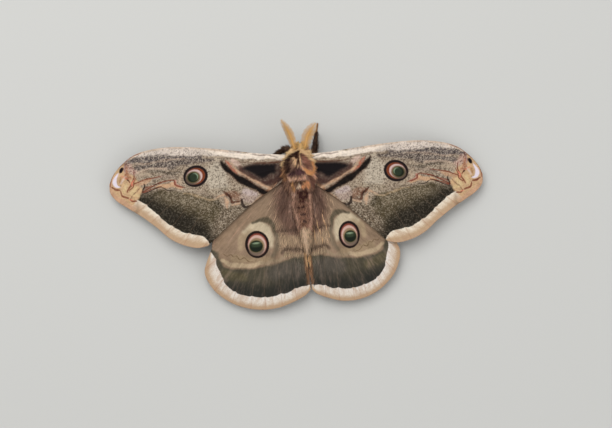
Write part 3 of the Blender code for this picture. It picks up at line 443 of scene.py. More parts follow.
HINDWING_BASE = Wash("ground", (148, 124, 101), 0.55, 1.0, 1.0, ())
HINDWING_WASHES = (
    Wash("costal taupe", (156, 130, 105), 0.4, 0.9, 4.0,
         ((8.0, -3.0, 0.5), (18.0, -7.0, 1.0), (26.0, -14.0, 1.0), (31.0, -21.0, 0.5))),
    Wash("inner mauve", (104, 78, 66), 0.9, 0.95, 5.4,
         ((3.0, -3.0, 1.5), (6.0, -10.0, 1.8), (5.5, -17.0, 1.4), (4.0, -21.0, 0.4))),
    Wash("shadow by the body", (76, 56, 47), 0.8, 0.35, 1.6,
         ((5.6, -6.0, 0.2), (6.4, -11.0, 0.5), (5.8, -16.0, 0.2))),
    Wash("halo", (204, 187, 158), 0.45, 0.92, 1.5,
         ((21.8, -20.4, 0.1), (18.4, -18.9, 0.8), (14.8, -19.5, 1.0), (12.9, -22.4, 0.6),
          (12.6, -26.0, 0.1))),
    Wash("halo outwards", (172, 150, 120), 0.4, 0.8, 1.4,
         ((20.0, -20.0, 0.1), (23.0, -22.6, 0.4), (23.6, -26.0, 0.2))),
    Wash("below the spot", (158, 136, 107), 0.4, 0.8, 1.8,
         ((14.0, -30.8, 0.1), (20.0, -30.6, 0.3), (26.0, -29.5, 0.8))),
    Wash("arc", (78, 72, 56), 0.6, 0.85, 0.8,
         ((18.4, -17.3, 0.06), (15.8, -16.7, 0.4), (12.8, -17.0, 0.5), (11.5, -18.7, 0.36),
          (10.8, -20.8, 0.2), (10.2, -23.0, 0.06))),
    Wash("inner grey", (112, 100, 82), 0.7, 0.75, 1.2,
         ((10.5, -22.5, 0.2), (10.5, -27.0, 0.4), (12.8, -30.2, 0.1))),
    Wash("inner dark line", (78, 60, 49), 0.7, 0.8, 0.7,
         ((10.0, -21.3, 0.1), (7.9, -21.2, 0.3), (5.1, -21.2, 0.4), (1.2, -21.6, 0.3))),
    Wash("between the lines", (160, 136, 110), 1.0, 0.85, 1.2,
         ((8.4, -24.8, 0.8), (5.0, -24.9, 1.0), (1.2, -25.2, 1.0))),
    Wash("second dark line", (80, 64, 52), 0.8, 0.85, 0.7,
         ((9.0, -29.2, 0.06), (7.3, -28.2, 0.3), (4.5, -28.1, 0.4), (1.8, -29.0, 0.3), (0.2, -29.8, 0.2))),
    Wash("pale band", (190, 167, 136), 0.6, 0.92, 0.5,
         ((30.6, -29.6, 0.4), (28.6, -31.2, 0.6), (26.2, -31.9, 0.6), (23.8, -32.4, 0.5),
          (21.0, -32.5, 0.4), (18.8, -32.3, 0.35), (17.0, -31.9, 0.35))),
    Wash("pale band inwards", (156, 136, 110), 0.7, 0.85, 0.45,
         ((17.0, -31.9, 0.3), (15.2, -32.3, 0.35), (13.2, -31.8, 0.3), (10.7, -31.7, 0.3),
          (9.2, -30.6, 0.2), (7.3, -30.0, 0.2), (2.5, -30.8, 0.1))),
    Wash("dark band", (82, 76, 62), 0.5, 1.0, 0.5,
         ((34.4, -25.0), (32.6, -26.4), (31.3, -29.0), (31.0, -31.6), (28.6, -33.0), (25.5, -33.4),
          (22.2, -33.6), (19.4, -33.5), (16.7, -33.5), (13.8, -33.0), (10.8, -32.9), (8.4, -31.7),
          (5.9, -31.3), (1.9, -31.4), (-1.0, -31.6), (-1.0, -46.0), (12.0, -52.0), (30.0, -49.0),
          (41.0, -36.0), (37.0, -24.0)), True),
    Wash("inner dark band", (90, 83, 75), 0.55, 0.7, 3.0, ((12.0, -36.0, 1.5), (5.0, -36.0, 2.0))),
    Wash("olive in the band", (104, 94, 68), 0.9, 0.6, 1.8,
         ((30.4, -34.4, 0.4), (27.0, -36.0, 0.6), (23.6, -36.6, 0.5))),
    Wash("dark to the border", (48, 47, 42), 0.3, 1.0, 6.4,
         ((30.6, -40.2, 0.1), (26.5, -42.6, 1.2), (21.0, -44.6, 2.0), (16.0, -45.2, 2.2),
          (11.0, -44.6, 2.2), (7.0, -43.8, 2.2), (1.0, -43.0, 2.0))),
    Wash("seam", (118, 86, 62), 0.7, 0.9, 0.9, ((0.4, -30.0, 0.3), (0.6, -34.0, 0.5), (0.4, -41.0, 0.3))),
    Wash("bright seam", (190, 150, 108), 0.6, 0.9, 0.6,
         ((0.5, -28.0, 0.3), (0.5, -31.0, 0.4), (0.4, -35.0, 0.1))),
)
HINDWING_MARKS = (
    Mark("wave", (102, 80, 56), 0.85, 0.6, 0.14, 0.25,
         (((30.4, -27.0, 0.08), (28.9, -28.0, 0.18), (27.5, -27.7, 0.14), (26.6, -28.7, 0.18),
           (25.6, -28.4, 0.14), (24.6, -29.9, 0.2), (22.9, -29.5, 0.16), (21.4, -30.8, 0.18),
           (19.8, -31.1, 0.08)),),
         False, True),
    Mark("pink_lines", (192, 152, 126), 0.7, 0.7, 0.3, 0.3,
         (((33.6, -24.0, 0.2), (32.2, -20.8, 0.28), (29.4, -16.6, 0.26), (24.0, -11.0, 0.18),
           (16.0, -5.4, 0.1)),
          ((27.8, -23.2, 0.06), (24.1, -19.4, 0.14), (21.6, -16.9, 0.1), (17.0, -12.0, 0.05)))),
)
HINDWING_SPOT = {
    "middle": (17.7, -25.1), "turn": 0.0,
    "discs": (
        Disc("black ring", (0.0, 0.0), (4.36, 4.95), (32, 21, 19), 0.14),
        Disc("mauve", (0.0, -0.1), (3.4, 3.96), (116, 98, 84), 0.16),
        Disc("red", (-0.08, 0.06), (3.34, 3.9), (136, 64, 50), 0.26),
        Disc("white pink", (0.0, -0.22), (3.18, 3.58), (208, 172, 158), 0.24),
        Disc("tan", (0.2, -0.64), (2.84, 3.04), (152, 126, 98), 0.26),
        Disc("mauve foot", (0.36, -1.9), (2.66, 2.06), (118, 100, 86), 0.4),
        Disc("olive rim", (0.4, -0.62), (2.56, 2.26), (98, 90, 54), 0.18),
        Disc("pupil", (0.42, -0.66), (2.36, 2.06), (27, 33, 24), 0.2),
        Disc("green", (0.35, -0.06), (1.8, 0.9), (54, 65, 46), 0.4),
        Disc("pale slit", (0.3, 0.5), (1.16, 0.3), (136, 152, 122), 0.24),
    ),
}

BODY_BASE = Wash("brown", (118, 88, 73), 0.5, 1.0, 1.0, ())
BODY_WASHES = (
    Wash("golden head", (255, 214, 146), 0.4, 1.0, 0.8,
         ((2.7, 9.5, 1.6), (1.4, 7.8, 1.5), (1.0, 7.1, 1.2))),
    Wash("left collar", (255, 214, 158), 0.4, 1.0, 0.5,
         ((0.6, 7.3, 0.5), (-1.2, 7.2, 0.7), (-3.1, 6.3, 0.9), (-4.5, 4.8, 0.7), (-5.8, 3.1, 0.4),
          (-6.6, 1.0, 0.2))),
    Wash("right collar", (255, 212, 158), 0.4, 1.0, 0.6,
         ((2.0, 6.5, 0.5), (3.7, 5.7, 0.8), (5.4, 4.6, 1.1), (6.7, 3.2, 1.1), (7.2, 1.4, 0.6))),
    Wash("collar end", (244, 212, 170), 0.4, 0.6, 0.5, ((6.5, 4.7, 0.4), (7.4, 3.5, 0.5))),
    Wash("left edge", (130, 92, 64), 0.6, 0.9, 0.6,
         ((-6.4, 1.0, 0.4), (-6.0, -0.7, 0.8), (-5.4, -2.3, 1.0))),
    Wash("left lobe", (46, 28, 22), 0.3, 1.0, 0.5,
         ((0.5, 6.2, 0.25), (-1.4, 5.5, 0.5), (-3.2, 4.1, 1.0), (-4.2, 2.3, 1.2), (-4.4, 0.5, 1.0))),
    Wash("between the lobes", (74, 48, 38), 0.5, 0.95, 0.5,
         ((0.7, 6.0, 0.3), (-0.1, 4.3, 0.6), (-0.1, 2.2, 0.9), (-0.3, 0.7, 0.8))),
    Wash("right lobe", (122, 82, 68), 0.5, 1.0, 0.5,
         ((2.3, 4.4, 0.4), (3.1, 3.3, 0.8), (3.7, 1.4, 1.0), (3.8, -0.1, 0.7))),
    Wash("middle dark", (70, 46, 46), 0.5, 1.0, 0.5,
         ((-2.8, -1.2, 0.6), (-1.3, -0.7, 0.8), (0.8, -1.2, 0.8), (1.8, -2.0, 0.4))),
    Wash("left streak", (248, 204, 156), 0.5, 1.0, 0.25,
         ((-1.4, 4.7, 0.15), (-1.3, 3.4, 0.38), (-1.1, 1.2, 0.2))),
    Wash("right streak", (244, 200, 154), 0.5, 1.0, 0.25,
         ((1.3, 5.4, 0.1), (1.0, 4.0, 0.28), (1.0, 1.1, 0.16))),
    Wash("short streak", (232, 186, 146), 0.5, 0.95, 0.2, ((0.0, 1.6, 0.12), (0.1, 0.1, 0.16))),
    Wash("second short streak", (222, 172, 136), 0.5, 0.9, 0.2, ((1.6, 0.6, 0.12), (1.7, -0.6, 0.14))),
    Wash("orange arc", (226, 162, 106), 0.5, 0.95, 0.4,
         ((2.5, -0.7, 0.25), (3.4, -1.7, 0.4), (4.9, -1.4, 0.4), (5.6, 0.1, 0.3), (5.6, 1.9, 0.2))),
    Wash("right brown", (104, 70, 58), 0.5, 0.9, 0.5,
         ((4.2, -3.4, 0.5), (5.0, -5.3, 0.6), (5.5, -7.9, 0.5))),
    Wash("right edge", (234, 178, 146), 0.5, 0.95, 0.3,
         ((5.6, -2.1, 0.25), (6.3, -4.0, 0.35), (6.8, -5.8, 0.3), (7.3, -8.1, 0.2))),
    Wash("rear dark", (54, 35, 27), 0.5, 0.95, 0.4,
         ((-3.6, -4.4, 0.3), (-1.0, -4.6, 0.4), (0.6, -5.2, 0.3), (2.2, -4.8, 0.2))),
    Wash("left rear pink", (244, 194, 162), 0.4, 1.0, 0.25,
         ((-3.9, -2.1, 0.2), (-3.4, -3.1, 0.32), (-2.2, -3.4, 0.36), (-1.2, -3.0, 0.2))),
    Wash("right rear pink", (240, 186, 156), 0.4, 1.0, 0.25,
         ((-0.6, -3.7, 0.3), (0.4, -3.5, 0.42), (1.9, -3.7, 0.36), (2.6, -2.6, 0.25))),
    Wash("left gold tuft", (172, 126, 84), 0.5, 0.95, 0.35,
         ((-2.9, -4.9, 0.4), (-2.8, -6.2, 0.5), (-2.8, -7.7, 0.3))),
    Wash("cream tuft", (250, 220, 188), 0.4, 0.95, 0.25, ((-1.2, -6.7, 0.3), (0.1, -6.2, 0.3))),
    Wash("orange tuft", (206, 144, 100), 0.5, 0.95, 0.4,
         ((1.4, -6.7, 0.4), (2.9, -5.4, 0.5), (3.1, -6.9, 0.4))),
    Wash("abdomen base", (56, 30, 26), 0.4, 1.0, 0.6,
         ((-0.7, -8.5, 0.6), (1.8, -8.6, 0.7), (0.5, -10.2, 1.1), (0.0, -12.0, 0.6))),
    Wash("grey patch", (128, 116, 106), 0.4, 0.8, 0.4, ((-3.3, -8.7, 0.3), (-2.7, -9.5, 0.3))),
    Wash("abdomen", (112, 80, 64), 0.6, 0.85, 0.7,
         ((0.0, -13.4, 1.0), (0.0, -19.0, 0.9), (0.1, -21.5, 0.4))),
    Wash("left side streak", (186, 146, 124), 0.6, 0.75, 0.7,
         ((-3.1, -8.6, 0.2), (-3.3, -14.0, 0.4), (-2.4, -21.0, 0.3))),
    Wash("right side streak", (182, 142, 120), 0.6, 0.75, 0.7,
         ((3.1, -9.6, 0.2), (3.2, -15.0, 0.4), (2.2, -21.6, 0.3))),
    Wash("outer left shadow", (130, 100, 84), 0.6, 0.6, 0.8,
         ((-4.9, -9.0, 0.6), (-4.2, -15.0, 0.7), (-3.4, -19.0, 0.3))),
    Wash("outer right shadow", (120, 91, 77), 0.6, 0.8, 0.8,
         ((4.4, -9.0, 0.6), (4.4, -14.0, 0.8), (3.8, -18.0, 0.3))),
    Wash("first spots", (46, 30, 26), 0.5, 0.95, 0.25,
         ((-1.1, -13.7, 0.3), (-0.2, -13.9, 0.1), (0.8, -13.6, 0.3))),
    Wash("second spot", (52, 40, 38), 0.5, 0.95, 0.3, ((-0.7, -16.2, 0.3), (0.5, -16.1, 0.3))),
    Wash("third spot", (66, 50, 48), 0.5, 0.9, 0.3, ((-0.2, -18.9, 0.3), (0.4, -18.9, 0.3))),
    Wash("low abdomen", (166, 134, 112), 0.5, 0.9, 0.6, ((-0.2, -21.2, 0.4), (-0.2, -23.0, 0.6))),
    Wash("tail", (172, 146, 120), 0.5, 0.95, 0.8,
         ((0.1, -23.4, 2.0), (0.1, -26.0, 2.2), (0.2, -30.0, 2.2))),
    Wash("pale tail", (255, 220, 186), 0.3, 1.0, 0.3,
         ((-0.4, -21.4, 0.15), (-0.2, -24.0, 0.42), (0.0, -26.6, 0.36), (0.1, -29.6, 0.2))),
)
# Hair over the roots of the wings: where it grows, and its own markings
FOREWING_HAIR_AREA = (
    ((3.2, 8.0), (5.6, 7.4), (6.4, 4.0), (7.2, 0.4), (9.0, -2.4), (7.0, -2.0), (3.2, 1.0), (3.2, 8.0)),
)
HINDWING_HAIR_AREA = (
    ((1.6, -2.2), (7.0, -4.2), (11.5, -9.0), (12.0, -16.0), (10.6, -22.0), (9.6, -28.0), (5.0, -33.0),
     (0.5, -42.0), (0.5, -20.0), (1.6, -2.2)),
)
FOREWING_HAIR_WASHES = (
    Wash("golden hair", (176, 132, 88), 0.5, 0.8, 0.8, ((3.6, 8.0, 0.5), (5.0, 7.6, 0.2))),
    Wash("dark hair", (50, 34, 29), 0.5, 0.95, 0.8, ((5.0, 5.4, 1.0), (6.4, 3.2, 1.3), (6.6, 1.0, 0.9))),
)
HINDWING_HAIR_WASHES = (
    Wash("pale hair", (158, 128, 112), 0.5, 0.7, 0.4,
         ((3.0, -6.0, 0.1), (4.4, -12.0, 0.3), (4.8, -18.0, 0.1))),
    Wash("dark hair", (78, 58, 50), 0.5, 0.6, 0.8,
         ((6.6, -8.0, 0.3), (7.4, -13.0, 0.6), (7.2, -18.0, 0.3))),
    Wash("by the tail", (236, 200, 170), 0.4, 0.9, 0.5,
         ((0.4, -22.6, 0.3), (0.5, -26.0, 0.5), (0.5, -29.6, 0.2))),
)
RIGHT_HAIR_WASHES = (
    Wash("golden streak", (200, 160, 122), 0.5, 0.8, 0.22,
         ((7.6, -15.4, 0.06), (8.6, -20.0, 0.15), (9.6, -26.0, 0.05))),
    Wash("second golden streak", (202, 162, 120), 0.5, 0.85, 0.22,
         ((5.2, -17.4, 0.06), (5.8, -22.0, 0.14), (6.4, -27.4, 0.06))),
    Wash("third golden streak", (196, 156, 116), 0.5, 0.75, 0.22,
         ((3.2, -18.7, 0.06), (3.6, -22.8, 0.12), (3.8, -27.0, 0.05))),
)
BELLY_COLOUR = (126, 96, 74)
BELLY_BELOW = 1.0
BELLY_SOFT = 1.4
LEG_COLOUR = (50, 33, 24)
FOOT_COLOUR = (142, 104, 66)
FOOT_TOP = 1.1
FOOT_SOFT = 0.5
# How far out the skin is taken for a leg's, as a share of the body's half sizes
LIMB_OUT = 1.2
LIMB_SOFT = 0.12
SKIN_TINT = (0.82, 0.76, 0.74, 1.0)
# Hair: where between its last two rings a strand's colour is taken, how far along it is at its lightest past
# the painted shade at its root, how far tufts differ in tone, the most red there is, the tones that turn
# golden with that colour as golden hairs and as painted sheen, and how far the hair's normals follow the
# skin's
NEAR_TIP = 0.25
LIT_SHARE = 0.6
TUFT_SWING = 0.84
BRIGHTEST = 0.95
GOLDEN_TONES = (0.84, 0.97)
GOLDEN_HAIR_AND_SHEEN = (214, 168, 120)
SKIN_FACING = 0.72

# Antennae and legs, as the solids have them
ANTENNA_FORWARD = 8.0
ANTENNA_ANGLE = math.radians(30.0)
ANTENNA_OUT = {"left": (-0.53, 8.0, 10.85), "right": (3.19, 8.0, 10.85)}
ANTENNA_COLOUR = (206, 160, 96)
ANTENNA_BEND_AND_TIP = {
    "left": ((-1.9, 13.4, 11.6), (-4.3, 18.4, 12.6)),
    "right": ((4.7, 12.0, 11.8), (7.9, 15.9, 13.6)),
}
ANTENNA_ROLL = {"left": math.radians(-48.0), "right": math.radians(12.0)}
ANTENNA_SUNK = 0.3
SHAFT_RADII = (0.3, 0.09)
SHAFT_STEP = 0.12
SHAFT_SIDES = 10
# The rami start at this share of the shaft and stop this short of its tip
RAMI_START = 0.1
RAMI_SHORT = 0.1
RAMUS_LENGTH = 2.15
RAMUS_STEP = 0.27
RAMUS_LEAN = math.radians(58.0)
LEG_ROOTS = {"front": (3.3, 146.0), "mid": (-0.6, 128.0), "hind": (-4.6, 132.0)}
LEG_JOINTS = {
    "front_left": ((-3.3, 11.2, 4.5), (-8.4, 8.6, 2.2), (-9.9, 8.1), (-12.9, 7.4)),
    "front_right": ((6.5, 9.6, 4.8), (7.7, 16.0, 2.4), (7.9, 17.5), (8.4, 20.6)),
    "mid_left": ((-8.8, 4.8, 5.2), (-13.4, 2.6, 2.2), (-14.8, 2.0), (-17.8, 0.9)),
    "mid_right": ((9.6, 4.6, 5.2), (13.8, 2.2, 2.2), (15.2, 1.6), (18.2, 0.5)),
    "hind_left": ((-7.8, -6.2, 4.6), (-10.6, -14.2, 2.2), (-11.2, -15.9), (-12.0, -20.4)),
    "hind_right": ((9.2, -5.8, 4.6), (12.4, -13.8, 2.2), (13.0, -15.5), (14.0, -20.0)),
}
FLOOR = 0.0
FOOT_HEIGHT = 0.34
LEG_SIDES = 12
LEG_RADII = (0.95, 0.75, 0.5, 0.34, 0.3)
LEG_SUNK = 1.6

# Each wing's numbers. reach is how far its veins taper, below how far it lies under the forewing, grain its
# group of scales or hairs with what that reads and a pale colour. Its hair spreads from hair_from, which
# counts from its root
WINGS = {
    "forewing": {
        "outline": FOREWING_OUTLINE, "veins": FOREWING_VEINS, "border": FOREWING_BORDER,
        "root": FOREWING_ROOT, "reach": 66.0, "below": 0.0, "seed": 3,
        "base": FOREWING_BASE, "washes": FOREWING_WASHES, "marks": FOREWING_MARKS,
        "spots": (FOREWING_SPOT, APICAL_DOT), "border_colours": FOREWING_BORDER_COLOURS,
        "hair": FOREWING_HAIR_AREA, "hair_washes": FOREWING_HAIR_WASHES, "hair_length": 1.3,
        "hair_from": (0.0, 0.0), "grain": ("flecks", "Vector", (220, 203, 180)),
    },
    "hindwing": {
        "outline": HINDWING_OUTLINE, "veins": HINDWING_VEINS, "border": HINDWING_BORDER,
        "root": HINDWING_ROOT, "reach": 50.0, "below": HINDWING_BELOW, "seed": 8,
        "base": HINDWING_BASE, "washes": HINDWING_WASHES, "marks": HINDWING_MARKS,
        "spots": (HINDWING_SPOT,), "border_colours": HINDWING_BORDER_COLOURS,
        "hair": HINDWING_HAIR_AREA, "hair_washes": HINDWING_HAIR_WASHES, "hair_length": 2.3,
        "hair_from": (0.0, 6.0), "grain": ("streaks", "Flow", (190, 160, 142)),
    },
}


def main():
    make_camera()
    make_studio()
    groups = shader_groups()
    coat = coat_tree()
    row = row_tree()
    for kind in WINGS:
        material = wing_material(kind, groups)
        for name, side in SIDES.items():
            make_wing(kind, name, side, material)
    make_skin()
    make_coats(coat)
    for name, side in SIDES.items():
        make_eye(name, side)
        make_antenna(name, side, row)


def linear(colour):
    """A colour as the light it stands for."""
    parts = np.asarray(colour, dtype=float) / 255
    return np.where(parts <= 0.04045, parts / 12.92, ((parts + 0.055) / 1.055) ** 2.4)


def shade(colour):
    return (*(float(part) for part in linear(colour)), 1.0)


def make_camera():
    data = bpy.data.cameras.new("camera")
    data.lens = LENS
    data.sensor_width = SENSOR
    data.clip_end = CLIP_END
    camera = bpy.data.objects.new("camera", data)
    distance = PHOTO_WIDTH * PHOTO_SCALE * LENS / SENSOR
    camera.location = Vector((*CAMERA_OVER, WING_LEVEL + distance)) * MM
    camera.rotation_euler = (0.0, 0.0, PHOTO_TURN)
    bpy.context.scene.collection.objects.link(camera)
    bpy.context.scene.camera = camera


def make_studio():
    """A pale floor under a wide soft light before the moth, with a weaker one behind it on its right."""
    work = bmesh.new()
    bmesh.ops.create_grid(work, x_segments=1, y_segments=1, size=FLOOR_HALF)
    floor = new_object("floor", work)
    material, tree, shader = new_material("pale floor")
    fill_in(tree, shader, {"Base Color": FLOOR_COLOUR, "Roughness": 0.9})
    floor.data.materials.append(material)
    for name, place, size, power in LIGHTS:
        light = bpy.data.lights.new(name, "AREA")
        light.size = size
        light.energy = power
        lamp = bpy.data.objects.new(name, light)
        lamp.location = place
        lamp.rotation_euler = (-Vector(place)).to_track_quat("-Z", "Y").to_euler()
        bpy.context.scene.collection.objects.link(lamp)
    world = bpy.data.worlds.new("studio")
    world.use_nodes = True
    background = world.node_tree.nodes["Background"]
    fill_in(world.node_tree, background, {"Color": (1.0, 1.0, 1.0, 1.0), "Strength": ROOM_LIGHT})
    bpy.context.scene.world = world
    bpy.context.scene.view_settings.view_transform = "Standard"


def new_object(name, source):
    """An object of a bmesh, which it frees, or of a mesh."""
    mesh = source
    if isinstance(source, bmesh.types.BMesh):
        mesh = bpy.data.meshes.new(name)
        source.to_mesh(mesh)
        source.free()
    made = bpy.data.objects.new(name, mesh)
    bpy.context.scene.collection.objects.link(made)
    return made


def mesh_of(name, points, faces):
    mesh = bpy.data.meshes.new(name)
    mesh.from_pydata(np.asarray(points).tolist(), [], faces)
    return mesh


def points_of(mesh):
    """The mesh's points as an array."""
    data = np.zeros(3 * len(mesh.vertices))
    mesh.vertices.foreach_get("co", data)
    return data.reshape(-1, 3)


def store(mesh, name, kind, values):
    """Keeps one value for each of the mesh's points under a name that the materials read."""
    field = {"FLOAT": "value", "FLOAT_VECTOR": "vector", "FLOAT_COLOR": "color"}[kind]
    layer = mesh.attributes.new(name, kind, "POINT")
    layer.data.foreach_set(field, np.ascontiguousarray(values, dtype=np.float32).ravel())


def store_map(mesh, name, corners):
    """Keeps a flat place for each corner of the mesh's faces."""
    mesh.uv_layers.new(name=name).data.foreach_set("uv", np.asarray(corners, dtype=np.float32).ravel())


def moved(points, matrix):
    """An array of points taken through a matrix."""
    turn = np.array(matrix.to_3x3())
    return np.asarray(points) @ turn.T + np.array(matrix.translation)


def units(rows):
    """Each row of an array brought to length 1."""
    return rows / np.linalg.norm(rows, axis=1)[:, None]


def baked(obj, name):
    """An object's mesh with its modifiers carried out, in an object of its own."""
    evaluated = obj.evaluated_get(bpy.context.evaluated_depsgraph_get())
    mesh = bpy.data.meshes.new_from_object(evaluated)
    mesh.name = name
    bpy.data.objects.remove(obj)
    return new_object(name, mesh)


def finish_piece(obj, frame_matrix, replaced=()):
    obj.data.transform(Matrix.Scale(MM, 4) @ frame_matrix)
    obj.data.shade_smooth()
    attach(obj, "root")
    if replaced:
        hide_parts(*replaced)


def smooth_path(points, step):
    """Points about step apart on a Catmull-Rom curve through the given ones."""
    points = np.asarray(points, dtype=float)
    if len(points) == 1:
        return np.repeat(points, 2, axis=0)
    padded = np.vstack([2 * points[0] - points[1], points, 2 * points[-1] - points[-2]])
    runs = []
    for a, b, c, d in zip(padded, padded[1:], padded[2:], padded[3:]):
        count = max(1, round(float(np.linalg.norm(c - b)) / step))
        t = (np.arange(count) / count)[:, None]
        square, cube = 2 * a - 5 * b + 4 * c - d, 3 * b - a - 3 * c + d
        runs.append(0.5 * (2 * b + (c - a) * t + square * t**2 + cube * t**3))
    return np.vstack(runs + [points[-1:]])


def stroke_gap(places, path):
    """How far flat places lie outside a stroke, whose points may hold a half width after the place."""
    path = np.asarray(path, dtype=float)
    if path.shape[1] == 2:
        path = np.hstack([path, np.zeros((len(path), 1))])
    best = np.full(len(places), np.inf)
    for a, b in zip(path, path[1:]):
        span = (b - a)[:2]
        along = (places - a[:2]) @ span / max(float(span @ span), TINY)
        along = np.clip(along, 0.0, 1.0)
        gap = np.linalg.norm(places - a[:2] - along[:, None] * span, axis=1)
        best = np.minimum(best, gap - (a[2] + (b[2] - a[2]) * along))
    return best


def rim_gap(places, ring):
    """How far flat places lie from the line of a closed outline."""
    return np.abs(stroke_gap(places, np.vstack([ring, ring[:1]])))


def inside(places, ring):
    """Which flat places lie within a closed outline."""
    x, y = places[:, 0], places[:, 1]
    crossings = np.zeros(len(places), dtype=int)
    for (ax, ay), (bx, by) in zip(ring, np.roll(ring, -1, axis=0)):
        if ay != by:
            crossings += ((ay > y) != (by > y)) & (x < ax + (bx - ax) * (y - ay) / (by - ay))
    return crossings % 2 == 1


def area_gap(places, corners):
    """How far flat places lie outside a closed outline, less than 0 within it."""
    ring = smooth_path(list(corners) + [corners[0]], WASH_STEP)[:, :2]
    gap = stroke_gap(places, ring)
    return np.where(inside(places, ring[:-1]), -gap, gap)


def fade(gap, soft):
    """1 well inside, 0 well outside, smooth over soft to each side of the edge."""
    return eased(np.clip(0.5 - 0.5 * gap / soft, 0.0, 1.0))


def eased(share):
    """A share from 0 to 1 with no corner at either end."""
    return share * share * (3 - 2 * share)


def ripple(places, size, seed):
    """Smooth noise from -1 to 1 over flat places, with a new value every size."""
    cells = RIPPLE_CELLS
    table = np.random.default_rng(seed).uniform(-1.0, 1.0, (cells, cells))
    spots = places / size
    corner = np.floor(spots).astype(int)
    share = eased(spots - corner)
    value = np.zeros(len(places))
    for i in (0, 1):
        for j in (0, 1):
            weight = np.abs(1 - i - share[:, 0]) * np.abs(1 - j - share[:, 1])
            value += weight * table[(corner[:, 0] + i) % cells, (corner[:, 1] + j) % cells]
    return value


def wander(places, seed, far=WASH_WANDER):
    """Places shifted a little by smooth noise, so that no painted edge runs ruler-straight."""
    coarse = np.stack([ripple(places, COARSE_RIPPLE, seed + k) for k in (0, 1)], axis=1)
    fine = np.stack([ripple(places, FINE_RIPPLE, seed + k) for k in (2, 3)], axis=1)
    return places + far * coarse + FINE_SHARE * far * fine


def paint(places, base, washes, seed):
    """Colour and grain at flat places: the base with each wash laid over it in turn, and then mottled."""
    shifted = wander(places, seed)
    found = np.tile([*linear(base.colour), base.grain], (len(places), 1))
    for wash in washes:
        if wash.fill:
            amount = fade(area_gap(shifted, wash.points), wash.soft)
        else:
            gap = stroke_gap(shifted, smooth_path(wash.points, WASH_STEP))
            amount = fade(gap - 0.5 * wash.soft, 0.5 * wash.soft)
        amount = wash.strength * amount[:, None]
        found = found * (1 - amount) + amount * np.array([*linear(wash.colour), wash.grain])
    mottle = 1.0
    for strength, size, more in MOTTLES:
        mottle = mottle + strength * ripple(places, size, seed + more)
    found[:, :3] *= mottle[:, None]
    return found


def surface_height(x, y, below):
    """Height of a wing's middle surface over points of the stance frame."""
    out = np.maximum(0.0, np.abs(x) - ROOT_ASIDE) / (HALF_SPAN - ROOT_ASIDE)
    back = np.maximum(0.0, -y)
    return ROOT_HEIGHT - TIP_DROOP * out**DROOP_POWER - REAR_DROOP * back**2 - below


def stroke_rows(strokes, shift):
    """Close rows of flat points along the middle and both edges of thin strokes, which shift moves."""
    rows = []
    for stroke in strokes:
        path = smooth_path(stroke, THIN_STEP)
        middle, half = path[:, :2], path[:, 2:]
        ahead = np.gradient(middle, axis=0)
        length = np.linalg.norm(ahead, axis=1)[:, None] + TINY
        across = np.column_stack([-ahead[:, 1], ahead[:, 0]]) / length
        middle = 2 * middle - shift(middle)
        rows.append(middle)
        for way in (-1, 1):
            for past in ROWS_PAST_EDGE:
                rows.append(middle + way * (half + past) * across)
    return np.vstack(rows)


def wing_grid(outline_runs, grid_step=GRID_STEP, extra=None):
    """Flat points within an outline, the outline's own first, and the triangles between them."""
    runs = [smooth_path(run, OUTLINE_STEP)[:-1] for run in outline_runs]
    ring = np.vstack(runs + [np.array(outline_runs[-1][-1:])])
    low, high = ring.min(axis=0), ring.max(axis=0)
    row_step = grid_step * math.sqrt(0.75)
    rows = np.arange(int((high[1] - low[1]) / row_step) + 1)
    columns = np.arange(int((high[0] - low[0]) / grid_step) + 1)
    row, column = (part.ravel() for part in np.meshgrid(rows, columns))
    across = low[0] + (column + 0.5 * (row % 2)) * grid_step
    field = np.stack([across, low[1] + row * row_step], axis=1)
    if extra is not None:
        field = np.vstack([field, extra])
    field = field[inside(field, ring)]
    field = field[rim_gap(field, ring) > RIM_CLEAR * grid_step]
    count = len(ring)
    edges = [(i, (i + 1) % count) for i in range(count)]
    points = [Vector(p) for p in np.vstack([ring, field])]
    made = geometry.delaunay_2d_cdt(points, edges, [list(range(count))], 1, SAME_POINT)
    return np.array(made[0]), np.array(made[2]), ring


def place_in_stance(kind, name, side, flat):
    """A wing's flat points over the stance frame."""
    if kind == "forewing":
        return flat * [side, 1.0]
    spread = side * HINDWING_SPREAD[name]
    return moved(np.column_stack([flat * [spread, 1.0], np.zeros(len(flat))]), BODY_IN_STANCE)[:, :2]


def vein_gap(kind, flat):
    """How far flat places lie from the nearest vein."""
    veins = WINGS[kind]["veins"]
    return np.minimum.reduce([stroke_gap(flat, smooth_path(path, VEIN_STEP)) for path in veins])


def wing_surface(kind, name, side, flat):
    """Where flat places lie in the stance frame, the height of the wing's middle there and of its veins."""
    wing = WINGS[kind]
    spots = place_in_stance(kind, name, side, flat)
    vein, out = vein_gap(kind, flat), np.linalg.norm(flat - wing["root"], axis=1)
    ridge = VEIN_RISE * (1 - VEIN_FADE * out / wing["reach"]) * np.exp(-((vein / VEIN_WIDTH) ** 2))
    pleat = PLEAT_DEPTH * (1 - np.exp(-((vein / PLEAT_WIDTH) ** 2)))
    return spots, surface_height(spots[:, 0], spots[:, 1], wing["below"]) - pleat, ridge


